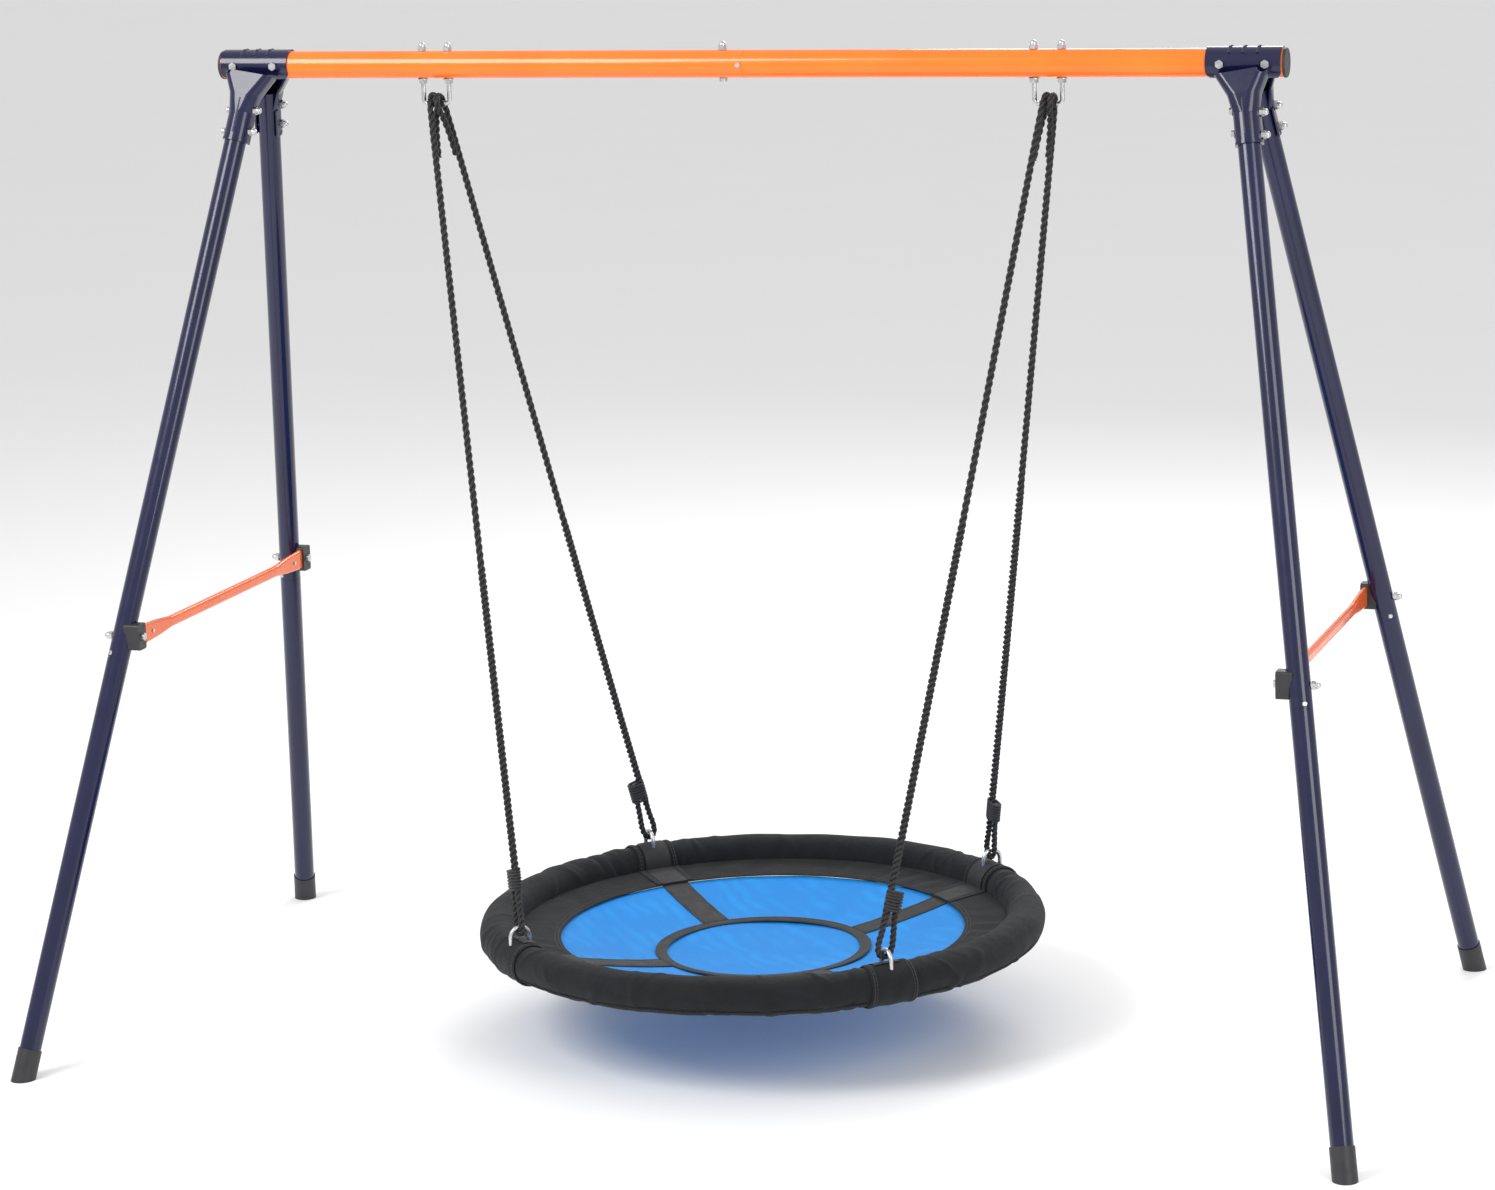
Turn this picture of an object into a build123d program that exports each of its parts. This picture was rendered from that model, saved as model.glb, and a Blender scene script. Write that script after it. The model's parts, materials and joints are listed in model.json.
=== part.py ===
"""Saucer nest swing on an A-frame stand.

Units are millimetres. +Z is up and +X runs along the top beam. The floor is z = 0,
the front of the stand faces -Y, and the origin is on the floor below the middle of
the beam. Every separate piece is written to its own STEP file in parts/.
"""
from build123d import *
from math import acos, atan2, ceil, cos, degrees, hypot, pi, radians, sin, sqrt, tan
import os

# ---- driving dimensions: stand ------------------------------------------------------
BEAM_Z = 1700.0            # height of the beam axis
BEAM_R = 24.0              # 48 mm beam tube
BEAM_WALL = 2.0
BEAM_HALF = 950.0          # half length of the beam
SEAM_X = 19.0              # where the two beam tubes meet
SPIGOT_LEN = 80.0          # length of each swaged tube end
JOINT_BOLT_X = -21.0       # bolt that pins the beam joint
LEG_R = 19.0               # 38 mm leg tube
LEG_WALL = 1.6
LEG_TOP = (885.0, 30.0)    # leg axis at beam height
LEG_FOOT = (1160.0, 600.0)  # leg axis at the floor
LEG_START = 52.0           # leg tube starts this far down its axis
LEG_JOINT_Z = 702.0        # height of the joint between upper and lower leg tube
FOOT_CAP_R = 20.9
FOOT_CAP_H = 46.0
BRACE_Z = 740.0
CLEAR = 0.3                # gap between pieces that only sit next to each other
BOLT_R = 4.0               # M8 hardware
HOLE_R = 4.2
NUT_FLATS = 13.0

# ---- driving dimensions: head brackets ----------------------------------------------
SHEET = 2.8
SADDLE_W = 126.0
SADDLE_R = BEAM_R + CLEAR
SADDLE_END = 62.0          # the saddle wraps this many degrees past the front of the beam
BRACKET_BOLT_X = 38.0
SOCKET_START = 84.0        # the socket runs between these distances down the leg axis
SOCKET_END = 136.0
SOCKET_CHEEK = 13.0
LEG_BOLTS = (80.0, 118.0)  # distances down the leg axis

# ---- driving dimensions: hangers ----------------------------------------------------
HANGER_X = 550.0
UBOLT_R = 4.0
UBOLT_HALF = 24.0
UBOLT_BEND = 8.5
UBOLT_BAR_Z = 1632.0
SLEEVE_R = 8.0
SLEEVE_BORE = UBOLT_R + 0.05
SLEEVE_LEN = 29.0

# ---- driving dimensions: ropes ------------------------------------------------------
ROPE_R = 6.0
ROPE_OFFSET = 6.7          # two rope eyes sit side by side on one pivot sleeve
EYE_R = SLEEVE_R + ROPE_R + 1.6
EYE_SPLAY = radians(25.0)
TAIL_LEN = 46.0
TAIL_GAP = 2 * ROPE_R + 0.4
LOOP_H = 60.0              # height of the lower loop above the ring
WHIP_LEN = 42.0
ARC_GAP = 0.15              # keeps a short straight between neighbouring arcs

# ---- driving dimensions: saucer seat ------------------------------------------------
SEAT_Z = 190.0             # height of the rim centre
RIM_R = 466.0
HOOP_R = 12.5
HOOP_WALL = 1.5
FOAM_R = 32.0
COVER_R = 34.0
COVER_T = 1.7
PATCH_T = 1.5
PATCH_ANGLE = 12.0
MAT_R = 362.0
FLANGE_R = 357.0           # inner edge of the cover's skirt
SKIRT_OUT = 432.2
SKIRT_Z = -17.0
SKIRT_SLOPE = 0.13
SKIRT_T = 2.0
MAT_EDGE_Z = -18.8
MAT_SAG = 43.2
MAT_T = 2.5
TRIM_T = 1.6
STRAP_W = 50.0
CENTRE_RING = (171.0, 191.0)
RING_WIRE = 4.0
RING_HALF = 17.0
RING_RISE = 42.0           # straight sides of the oval ring
SNUG_PLAY = 1.0            # play of the left rope loops on their rings
OPEN_PLAY = 2.5            # play of the right rope loops on their rings
OPEN_BIAS = 2.6            # at rest the right loops sit this far inward in X

SIDES = {"left": -1, "right": 1}
ENDS = {"front": -1, "rear": 1}
CORNERS = [(end, side) for end in ENDS for side in SIDES]
X_AXIS = Vector(1, 0, 0)
Y_AXIS = Vector(0, 1, 0)
Z_AXIS = Vector(0, 0, 1)


# ---- helpers ------------------------------------------------------------------------
def rod(start, end, radius):
    """Solid cylinder between two points."""
    start, end = Vector(*start), Vector(*end)
    axis = end - start
    plane = Plane(origin=start, z_dir=axis)
    return extrude(plane * Circle(radius), axis.length)


def tube(start, end, radius, bore):
    """Hollow cylinder between two points."""
    start, end = Vector(*start), Vector(*end)
    axis = (end - start).normalized()
    return rod(start, end, radius) - rod(start - axis, end + axis, bore)


def hex_prism(start, direction, flats, height):
    """Hexagonal prism standing on a point."""
    plane = Plane(origin=Vector(*start), z_dir=Vector(*direction))
    return extrude(plane * RegularPolygon(flats / sqrt(3), 6), height)


def bolt(head_at, direction, length, head=5.3):
    """Hex bolt: the head sits behind head_at and the shank runs along direction."""
    start = Vector(*head_at)
    way = Vector(*direction).normalized()
    body = hex_prism(start - way * head, way, NUT_FLATS, head)
    body &= rod(start - way * head, start, NUT_FLATS / sqrt(3) - 0.35)
    return body + rod(start, start + way * length, BOLT_R)


def acorn_nut(base, direction):
    """Domed cap nut with a blind bore; it sits on base and points along direction."""
    start = Vector(*base)
    way = Vector(*direction).normalized()
    body = hex_prism(start, way, NUT_FLATS, 6.5)
    body += rod(start + way * 6.5, start + way * 9.0, 5.9)
    body += Location(start + way * 9.0) * Sphere(5.9)
    return body - rod(start - way, start + way * 10.5, BOLT_R + 0.05)


def hex_nut(base, direction, height=6.5):
    """Plain hex nut with an open bore."""
    start = Vector(*base)
    way = Vector(*direction).normalized()
    body = hex_prism(start, way, NUT_FLATS, height)
    return body - rod(start - way, start + way * (height + 1), BOLT_R + 0.05)


def route_wire(points, radii):
    """Wire of straight runs joined by tangent arcs; radii has one value per inner point."""
    return FilletPolyline(*[tuple(p) for p in points], radius=list(radii))


def round_tube_along(wire, radius):
    """Solid round bar swept along a wire."""
    plane = Plane(origin=wire @ 0, z_dir=wire % 0)
    return sweep(plane * Circle(radius), path=wire)


def save(name, shape):
    """Write one named piece; several solids in it stay separate solids."""
    solids = shape if isinstance(shape, list) else [shape]
    flat = [s for item in solids for s in item.solids()]
    out = flat[0] if len(flat) == 1 else Compound(children=flat)
    out.label = name
    export_step(out, f"parts/{name}.step")
    box = out.bounding_box()
    volume = sum(s.volume for s in flat)
    print(f"{name:24s} solids {len(flat):2d}  volume {volume:12.1f}  "
          f"z {box.min.Z:8.1f} .. {box.max.Z:8.1f}")
    return out


# ---- leg geometry -------------------------------------------------------------------
def leg_axis(side, end):
    """Top point of a leg axis and its unit direction down to the floor."""
    top = Vector(side * LEG_TOP[0], end * LEG_TOP[1], BEAM_Z)
    foot = Vector(side * LEG_FOOT[0], end * LEG_FOOT[1], 0)
    return top, (foot - top).normalized()


LEG_LEN = (Vector(LEG_FOOT[0], LEG_FOOT[1], 0)
           - Vector(LEG_TOP[0], LEG_TOP[1], BEAM_Z)).length
LEG_JOINT = LEG_LEN * (BEAM_Z - LEG_JOINT_Z) / BEAM_Z
LEG_END = LEG_LEN - 22.0


def on_leg(side, end, distance):
    """Point this far down a leg axis."""
    top, way = leg_axis(side, end)
    return top + way * distance


def at_height(side, end, z):
    """Point of a leg axis at a height."""
    return on_leg(side, end, LEG_LEN * (BEAM_Z - z) / BEAM_Z)


def leg_bolt_holes(side, end):
    """Cross holes for the two socket bolts and the brace bolt."""
    cuts = []
    for distance in LEG_BOLTS:
        p = on_leg(side, end, distance)
        cuts.append(rod(p - X_AXIS * 60, p + X_AXIS * 60, HOLE_R))
    p = at_height(side, end, BRACE_Z)
    cuts.append(rod(p - X_AXIS * 60, p + X_AXIS * 60, HOLE_R))
    return cuts


def joint_screw_way(side, end):
    """Direction in which a leg joint screw points outward, square to the leg."""
    _, way = leg_axis(side, end)
    raw = Vector(side * 0.5, -0.87, 0)
    return (raw - way * raw.dot(way)).normalized()


def upper_leg(side, end):
    start = on_leg(side, end, LEG_START)
    stop = on_leg(side, end, LEG_JOINT)
    body = tube(start, stop, LEG_R, LEG_R - LEG_WALL)
    for cut in leg_bolt_holes(side, end):
        body -= cut
    p = on_leg(side, end, LEG_JOINT - 7)
    return body - rod(p, p + joint_screw_way(side, end) * 30, 2.7)


def lower_leg(side, end):
    """Lower tube with a swaged spigot that slides up into the upper tube."""
    _, way = leg_axis(side, end)
    joint = on_leg(side, end, LEG_JOINT + 0.4)
    stop = on_leg(side, end, LEG_END)
    spigot_r = LEG_R - LEG_WALL - CLEAR
    body = tube(joint, stop, LEG_R, LEG_R - LEG_WALL)
    body += tube(joint - way * SPIGOT_LEN, joint + way * 6, spigot_r, spigot_r - 1.5)
    body += tube(joint, joint + way * 6, LEG_R - 0.2, spigot_r - 1.5)
    cross = at_height(side, end, BRACE_Z)
    body -= rod(cross - X_AXIS * 60, cross + X_AXIS * 60, HOLE_R)
    p = on_leg(side, end, LEG_JOINT - 7)
    return body - rod(p, p + joint_screw_way(side, end) * 30, 2.7)


def leg_joint_screw(side, end):
    p = on_leg(side, end, LEG_JOINT - 7)
    way = joint_screw_way(side, end)
    head_at = p + way * (LEG_R + 0.05)
    body = rod(p + way * 13.0, head_at, 2.5)
    cap = Plane(origin=head_at, z_dir=way)
    return body + extrude(cap * Circle(4.2), 1.8, taper=30)


def foot_cap(side, end):
    """Plastic cap over the leg end, cut flat where it stands on the floor."""
    _, way = leg_axis(side, end)
    stop = on_leg(side, end, LEG_END)
    body = rod(stop - way * (FOOT_CAP_H - 14), stop + way * 44, FOOT_CAP_R)
    body -= rod(stop - way * FOOT_CAP_H, stop + way * CLEAR, LEG_R + CLEAR)
    foot = Location((side * LEG_FOOT[0], end * LEG_FOOT[1], -50))
    return body - foot * Box(200, 200, 100)


# ---- beam ---------------------------------------------------------------------------
def beam_tube_left():
    body = tube((-BEAM_HALF, 0, BEAM_Z), (SEAM_X, 0, BEAM_Z), BEAM_R, BEAM_R - BEAM_WALL)
    return cut_beam_holes(body)


def beam_tube_right():
    """Right tube; its swaged spigot slides into the left tube."""
    spigot_r = BEAM_R - BEAM_WALL - CLEAR
    start = SEAM_X + 0.4
    body = tube((start, 0, BEAM_Z), (BEAM_HALF, 0, BEAM_Z), BEAM_R, BEAM_R - BEAM_WALL)
    body += tube((start - SPIGOT_LEN, 0, BEAM_Z), (start + 8, 0, BEAM_Z),
                 spigot_r, spigot_r - 1.8)
    body += tube((start, 0, BEAM_Z), (start + 8, 0, BEAM_Z), BEAM_R - 0.2, spigot_r - 1.8)
    return cut_beam_holes(body)


def cut_beam_holes(body):
    for side in SIDES.values():
        for offset in (-UBOLT_HALF, UBOLT_HALF):
            x = side * HANGER_X + offset
            body -= rod((x, 0, BEAM_Z - 40), (x, 0, BEAM_Z + 40), HOLE_R)
        for offset in (-BRACKET_BOLT_X, BRACKET_BOLT_X):
            x = side * LEG_TOP[0] + offset
            body -= rod((x, -40, BEAM_Z), (x, 40, BEAM_Z), HOLE_R)
    body -= rod((JOINT_BOLT_X, 0, BEAM_Z - 40), (JOINT_BOLT_X, 0, BEAM_Z + 40), HOLE_R)
    return body - rod((SEAM_X - 6, 0, BEAM_Z), (SEAM_X - 6, -40, BEAM_Z), 2.7)


def beam_end_cap(side):
    """Plug with a disc flange that closes one end of the beam."""
    end = side * (BEAM_HALF + 0.2)
    inner = side * (BEAM_HALF - 22)
    bore = BEAM_R - BEAM_WALL
    body = tube((inner, 0, BEAM_Z), (end, 0, BEAM_Z), bore - CLEAR, bore - 3.5)
    disc = rod((end, 0, BEAM_Z), (end + side * 4.5, 0, BEAM_Z), BEAM_R + 0.8)
    rim = disc.edges().filter_by(GeomType.CIRCLE).sort_by(Axis.X)
    outer = rim[-1] if side > 0 else rim[0]
    return body + fillet(outer, 1.8)


# ---- head brackets ------------------------------------------------------------------
def polar(radius, angle):
    """Point in the YZ plane of the beam; 0 is +Y and 90 is up."""
    return (radius * cos(radians(angle)), radius * sin(radians(angle)))


def saddle(side):
    """Half-round sheet over the front of the beam, with rounded lower corners."""
    first, last = 91.5, 180.0 + SADDLE_END
    inner, outer = SADDLE_R, SADDLE_R + SHEET
    mid = (first + last) / 2
    plane = Plane(origin=(side * LEG_TOP[0] - SADDLE_W / 2, 0, BEAM_Z),
                  x_dir=(0, 1, 0), z_dir=(1, 0, 0))
    outline = [
        Edge.make_three_point_arc(*[Vector(*polar(outer, a), 0) for a in (first, mid, last)]),
        Edge.make_line(Vector(*polar(outer, last), 0), Vector(*polar(inner, last), 0)),
        Edge.make_three_point_arc(*[Vector(*polar(inner, a), 0) for a in (last, mid, first)]),
        Edge.make_line(Vector(*polar(inner, first), 0), Vector(*polar(outer, first), 0)),
    ]
    face = plane * Face(Wire(outline))
    body = extrude(face, SADDLE_W)
    low = BEAM_Z + polar(outer, last)[1] - 1.5
    front = Plane(origin=(side * LEG_TOP[0], 5, low + 100), x_dir=(1, 0, 0), z_dir=(0, -1, 0))
    return body & extrude(front * RectangleRounded(SADDLE_W, 200, 14.0), 60)


def leg_plane(side, distance):
    """Plane square to the front leg axis; its y direction points away from the stand."""
    top, way = leg_axis(side, -1)
    out = (Vector(0, -1, 0) - way * way.dot(Vector(0, -1, 0))).normalized()
    return Plane(origin=top + way * distance, x_dir=out.cross(way), z_dir=way)


def neck(side, grow):
    """Straight-walled transition from the saddle width to the leg socket."""
    socket = LEG_R + CLEAR + grow
    wide = leg_plane(side, 14.0) * RectangleRounded(86 + 2 * grow, 36 + 2 * grow, 12 + grow)
    mid = leg_plane(side, 52.0) * RectangleRounded(49 + 2 * grow, 40 + 2 * grow, 15 + grow)
    narrow = leg_plane(side, SOCKET_START) * RectangleRounded(
        2 * socket, 2 * socket, socket - 0.5)
    return loft([wide, mid, narrow], ruled=True)


def open_socket(side):
    """Half pipe with straight cheeks over the front of the leg, with a raised end band."""
    inner = LEG_R + CLEAR
    outer = inner + SHEET
    start = leg_plane(side, SOCKET_START)
    cheeks = start * Location((0, -SOCKET_CHEEK / 2, 0)) * Rectangle(2 * outer, SOCKET_CHEEK)
    slot = leg_plane(side, 60) * Location((0, -40, 0)) * Rectangle(2 * inner, 80)
    body = extrude(start * Circle(outer), SOCKET_END - SOCKET_START)
    body += extrude(leg_plane(side, SOCKET_END - 5) * Circle(outer + 1.0), 5)
    body += extrude(cheeks, SOCKET_END - SOCKET_START)
    body -= extrude(leg_plane(side, 60) * Circle(inner), 120)
    return body - extrude(slot, 120)


def front_bracket(side):
    """Pressed half bracket: saddle over the beam, neck, and open socket on the leg."""
    top, way = leg_axis(side, -1)
    frame = leg_plane(side, 0)
    inner = LEG_R + CLEAR
    outer = inner + SHEET
    centre = side * LEG_TOP[0]
    back = frame * Location((0, -SOCKET_CHEEK - 50, 80)) * Box(200, 100, 300)
    above = Location((centre, 0, BEAM_Z + 50)) * Box(300, 300, 100)
    body = neck(side, SHEET) - neck(side, 0) - back
    body -= rod((centre - 100, 0, BEAM_Z), (centre + 100, 0, BEAM_Z), SADDLE_R + SHEET / 2)
    body = body - above + saddle(side)
    body += open_socket(side) - back

    rib_start = frame.from_local_coords((0, outer - 0.6, 60))
    rib_end = frame.from_local_coords((0, outer - 0.6, SOCKET_END - 14))
    rib = rod(rib_start, rib_end, 1.8)
    body += rib - extrude(leg_plane(side, 40) * Circle(inner + 0.8), 140)
    for offset in (-24, 0, 24):
        x = centre + offset
        ends = [(x, y, BEAM_Z + z) for y, z in
                (polar(SADDLE_R + SHEET - 1.6, a) for a in (100, 142))]
        bead = rod(*ends, 4.0)
        body += bead - rod((x - 20, 0, BEAM_Z), (x + 20, 0, BEAM_Z), SADDLE_R + 1)

    for offset in (-BRACKET_BOLT_X, BRACKET_BOLT_X):
        x = centre + offset
        body -= rod((x, -90, BEAM_Z), (x, 40, BEAM_Z), HOLE_R)
        body -= rod((x, -90, BEAM_Z), (x, -SADDLE_R - SHEET + 0.6, BEAM_Z), 9.5)
    for distance in LEG_BOLTS:
        p = top + way * distance
        body -= rod(p - X_AXIS * 60, p + X_AXIS * 60, HOLE_R)
        for way_x in (-1, 1):
            seat_at = p + X_AXIS * (way_x * (outer + 0.2))
            body -= rod(seat_at, seat_at + X_AXIS * (way_x * 30), 9.0)
    return max(body.solids(), key=lambda s: s.volume)


def bracket_bolt_set(side):
    """Bolts front to back through beam and both brackets, with nuts at the rear."""
    reach = SADDLE_R + SHEET - 0.6 + 0.1
    bolts, nuts = [], []
    for offset in (-BRACKET_BOLT_X, BRACKET_BOLT_X):
        x = side * LEG_TOP[0] + offset
        bolts.append(bolt((x, -reach, BEAM_Z), (0, 1, 0), 2 * reach + 9.0))
        nuts.append(acorn_nut((x, reach, BEAM_Z), (0, 1, 0)))
    return bolts, nuts


def leg_bolt_set(side, end):
    """Bolts along X through bracket socket and leg."""
    outer = LEG_R + CLEAR + SHEET + 0.3
    bolts, nuts = [], []
    for distance in LEG_BOLTS:
        p = on_leg(side, end, distance)
        bolts.append(bolt(p - X_AXIS * outer, (1, 0, 0), 2 * outer + 9.0))
        nuts.append(acorn_nut(p + X_AXIS * outer, (1, 0, 0)))
    return bolts, nuts


# ---- braces -------------------------------------------------------------------------
BLOCK_IN = 36.0            # inner face of a brace block, from the leg axis
BLOCK_OUT = 8.0
BLOCK_W = 30.0
BLOCK_H = 46.0
BAR_PLANE = 28.0           # centre plane of the brace bar, from the leg axis
BAR_END = (9.0, 36.0)
BAR_MID = (12.0, 20.0)
BAR_WALL = 1.5
TONGUE = (5.0, 24.0, 57.0)
SCREW_FROM_BOLT = 50.0


def brace_x(side):
    return side * (abs(at_height(1, 1, BRACE_Z).X) - BAR_PLANE)


def brace_block(side, end):
    """Plastic block on the inner face of a leg, with a tongue inside the bar end."""
    p = at_height(side, end, BRACE_Z)
    centre_x = p.X - side * (BLOCK_IN + BLOCK_OUT) / 2
    block = Box(BLOCK_IN - BLOCK_OUT, BLOCK_W, BLOCK_H)
    block = fillet(block.edges().filter_by(Axis.X), 5.0)
    body = Location((centre_x, p.Y, BRACE_Z)) * block
    tongue_y = p.Y - end * (BLOCK_W / 2 + TONGUE[2] / 2 - 1)
    body += Location((brace_x(side), tongue_y, BRACE_Z)) * Box(
        TONGUE[0], TONGUE[2], TONGUE[1])
    top, way = leg_axis(side, end)
    body -= rod(top + way * (LEG_JOINT - 200), top + way * (LEG_JOINT + 200), LEG_R + CLEAR)
    body -= rod(p - X_AXIS * 60, p + X_AXIS * 60, HOLE_R)
    y = p.Y - end * SCREW_FROM_BOLT
    body -= rod((brace_x(side) - 30, y, BRACE_Z), (brace_x(side) + 30, y, BRACE_Z), 1.9)
    return max(body.solids(), key=lambda s: s.volume)


def bar_skin(side, shrink):
    """Half-round oval bar with taller flattened ends."""
    half = abs(at_height(1, 1, BRACE_Z).Y) - BLOCK_W / 2 - 0.5
    end_t, end_h = BAR_END[0] - 2 * shrink, BAR_END[1] - 2 * shrink
    mid_t, mid_h = BAR_MID[0] - 2 * shrink, BAR_MID[1] - 2 * shrink
    x = brace_x(side)
    over = 1.0 if shrink else 0.0

    def section(y, thick, high):
        plane = Plane(origin=(x, y, BRACE_Z), x_dir=(1, 0, 0), z_dir=(0, 1, 0))
        return plane * RectangleRounded(thick, high, thick / 2 - 0.3)

    stops = [(-half - over, end_t, end_h), (-half + 62, end_t + 0.5, end_h - 6)]
    parts = [loft([section(*s) for s in stops])]
    parts.append(loft([section(-half + 62, end_t + 0.5, end_h - 6),
                       section(-half + 112, mid_t, mid_h)]))
    parts.append(loft([section(-half + 112, mid_t, mid_h), section(half - 112, mid_t, mid_h)]))
    parts.append(loft([section(half - 112, mid_t, mid_h),
                       section(half - 62, end_t + 0.5, end_h - 6)]))
    parts.append(loft([section(half - 62, end_t + 0.5, end_h - 6),
                       section(half + over, end_t, end_h)]))
    body = parts[0]
    for piece in parts[1:]:
        body += piece
    return body


def brace_bar(side):
    body = bar_skin(side, 0) - bar_skin(side, BAR_WALL)
    for end in ENDS.values():
        y = at_height(side, end, BRACE_Z).Y - end * SCREW_FROM_BOLT
        body -= rod((brace_x(side) - 30, y, BRACE_Z), (brace_x(side) + 30, y, BRACE_Z), 1.9)
    return body


def brace_fasteners(side, end):
    p = at_height(side, end, BRACE_Z)
    inner = p - X_AXIS * (side * (BLOCK_IN + 0.1))
    way = (side, 0, 0)
    length = BLOCK_IN + LEG_R + 1.6 + 9.0
    through = bolt(inner, way, length)
    nut = acorn_nut(p + X_AXIS * (side * (LEG_R + 1.5)), way)
    y = p.Y - end * SCREW_FROM_BOLT
    face = brace_x(side) - side * (BAR_END[0] / 2 + 0.35)
    screw = rod((face, y, BRACE_Z), (face + side * 9.5, y, BRACE_Z), 1.7)
    screw += rod((face, y, BRACE_Z), (face - side * 1.8, y, BRACE_Z), 3.6)
    return through, nut, screw


# ---- hangers ------------------------------------------------------------------------
def ubolt(side):
    x = side * HANGER_X
    top = BEAM_Z + BEAM_R + 9.5
    points = [(x - UBOLT_HALF, 0, top), (x - UBOLT_HALF, 0, UBOLT_BAR_Z),
              (x + UBOLT_HALF, 0, UBOLT_BAR_Z), (x + UBOLT_HALF, 0, top)]
    return round_tube_along(route_wire(points, [UBOLT_BEND] * 2), UBOLT_R)


def ubolt_hardware(side):
    caps, nuts, washers = [], [], []
    for offset in (-UBOLT_HALF, UBOLT_HALF):
        x = side * HANGER_X + offset
        caps.append(acorn_nut((x, 0, BEAM_Z + BEAM_R + 0.1), (0, 0, 1)))
        top = BEAM_Z - BEAM_R - 0.1
        washers.append(tube((x, 0, top - 1.6), (x, 0, top), 9.0, UBOLT_R + 0.25))
        nuts.append(hex_nut((x, 0, top - 1.7), (0, 0, -1)))
    return caps, nuts, washers


def pivot_sleeve(side):
    x = side * HANGER_X
    half = SLEEVE_LEN / 2
    body = tube((x - half, 0, UBOLT_BAR_Z), (x + half, 0, UBOLT_BAR_Z), SLEEVE_R, SLEEVE_BORE)
    return body


# ---- ropes --------------------------------------------------------------------------
def ring_frame(side, end):
    """Centre of the ring's top bar, and the tangent direction of the rim there."""
    radial = Vector(side, end, 0).normalized()
    bar = radial * RIM_R + Z_AXIS * (SEAT_Z + RING_RISE + RING_HALF)
    tangent = Vector(-end, side, 0).normalized()
    return bar, radial, tangent


def rope_route(side, end):
    """Corner points and arc radii of one rope, from its upper tail to its lower tail."""
    bar, _, tangent = ring_frame(side, end)
    play = SNUG_PLAY
    if side > 0:
        play = OPEN_PLAY
        bar = bar - X_AXIS * OPEN_BIAS
    hang = Vector(side * HANGER_X + end * ROPE_OFFSET, 0, UBOLT_BAR_Z)
    lead = hang
    catch = bar
    for _ in range(4):
        way = (catch - lead).normalized()
        down = (way - Y_AXIS * way.Y).normalized()
        lean = acos(max(-1.0, min(1.0, way.dot(down))))
        out = (Y_AXIS * (end * cos(lean)) - down * sin(lean)).normalized()
        e_flat = (Y_AXIS * (end * sin(lean)) + down * cos(lean)).normalized()
        lead = hang + out * EYE_R
        u = (tangent - way * tangent.dot(way)).normalized()
        u = u * (1 if u.dot(Y_AXIS) * end > 0 else -1)
        catch = bar - way * LOOP_H + u * (TAIL_GAP / 2)
    turn = pi / 2 + EYE_SPLAY
    corner_one = hang - e_flat * EYE_R + out * EYE_R
    corner_two = hang - e_flat * EYE_R - out * (EYE_R * tan(turn / 2))
    slope = (e_flat * cos(EYE_SPLAY) + out * sin(EYE_SPLAY)).normalized()
    touch = hang + (e_flat * sin(EYE_SPLAY) - out * cos(EYE_SPLAY)) * EYE_R
    run = (EYE_R - TAIL_GAP + EYE_R * cos(EYE_SPLAY)) / sin(EYE_SPLAY)
    join = touch + slope * run
    tail = join + way * (TAIL_LEN + 6)
    ring_r = RING_WIRE + ROPE_R + play
    spread = atan2(ring_r - TAIL_GAP / 2, LOOP_H)
    half_turn = (pi / 2 + spread) / 2
    low = bar + way * ring_r
    low_one = low + u * (ring_r * tan(half_turn))
    low_two = low - u * (ring_r * tan(half_turn))
    back = bar - way * LOOP_H - u * (TAIL_GAP / 2)
    last = back - way * (WHIP_LEN - 4)
    points = [tail, join, corner_two, corner_one, catch, low_one, low_two, back, last]
    eye = EYE_R - ARC_GAP
    loop = ring_r - ARC_GAP
    radii = [22.0, eye, eye, 40.0, loop, loop, 40.0]
    return points, radii, way, u


def rope(side, end):
    points, radii, _, _ = rope_route(side, end)
    wire = route_wire(points, radii)
    body = round_tube_along(wire, ROPE_R)
    section = pi * ROPE_R ** 2 * wire.length
    return body, wire.length, body.volume / section, radii


def whipping(side, end):
    """Bound sleeve that holds both strands above the lower loop."""
    points, _, way, u = rope_route(side, end)
    catch, back = points[4], points[7]
    middle = (catch + back) * 0.5 - way * 1.5
    plane = Plane(origin=middle, x_dir=u, z_dir=-way)
    width = TAIL_GAP + 2 * ROPE_R + 5.0
    thick = 2 * ROPE_R + 5.0
    body = extrude(plane * RectangleRounded(width, thick, thick / 2 - 0.05), WHIP_LEN)
    for x in (-TAIL_GAP / 2, TAIL_GAP / 2):
        bore = plane * Location((x, 0, -2)) * Circle(ROPE_R + 0.15)
        body -= extrude(bore, WHIP_LEN + 4)
    for step in range(5):
        z = 4.2 + step * (WHIP_LEN - 8.4) / 4
        band = plane * Location((0, 0, z - 1.6)) * RectangleRounded(
            width + 2.0, thick + 2.0, thick / 2 + 0.9)
        hole = plane * Location((0, 0, z - 1.6)) * RectangleRounded(
            width - 0.6, thick - 0.6, thick / 2 - 0.4)
        body += extrude(band, 3.2) - extrude(hole, 3.2)
    return body


# ---- saucer seat --------------------------------------------------------------------
def torus_shell(outer, inner):
    ring = Location((0, 0, SEAT_Z)) * Torus(RIM_R, outer)
    if inner:
        ring -= Location((0, 0, SEAT_Z)) * Torus(RIM_R, inner)
    return ring


def ring_slot(side, end, z_low, z_high):
    """Room for one oval ring that stands across the rim."""
    radial = Vector(side, end, 0).normalized()
    angle = degrees(atan2(radial.Y, radial.X))
    centre = radial * RIM_R + Z_AXIS * (SEAT_Z + (z_low + z_high) / 2)
    return Location(centre) * Rotation(0, 0, angle) * Box(
        2 * (RING_HALF + RING_WIRE + 1), 2 * (RING_WIRE + 0.8), z_high - z_low)


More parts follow.
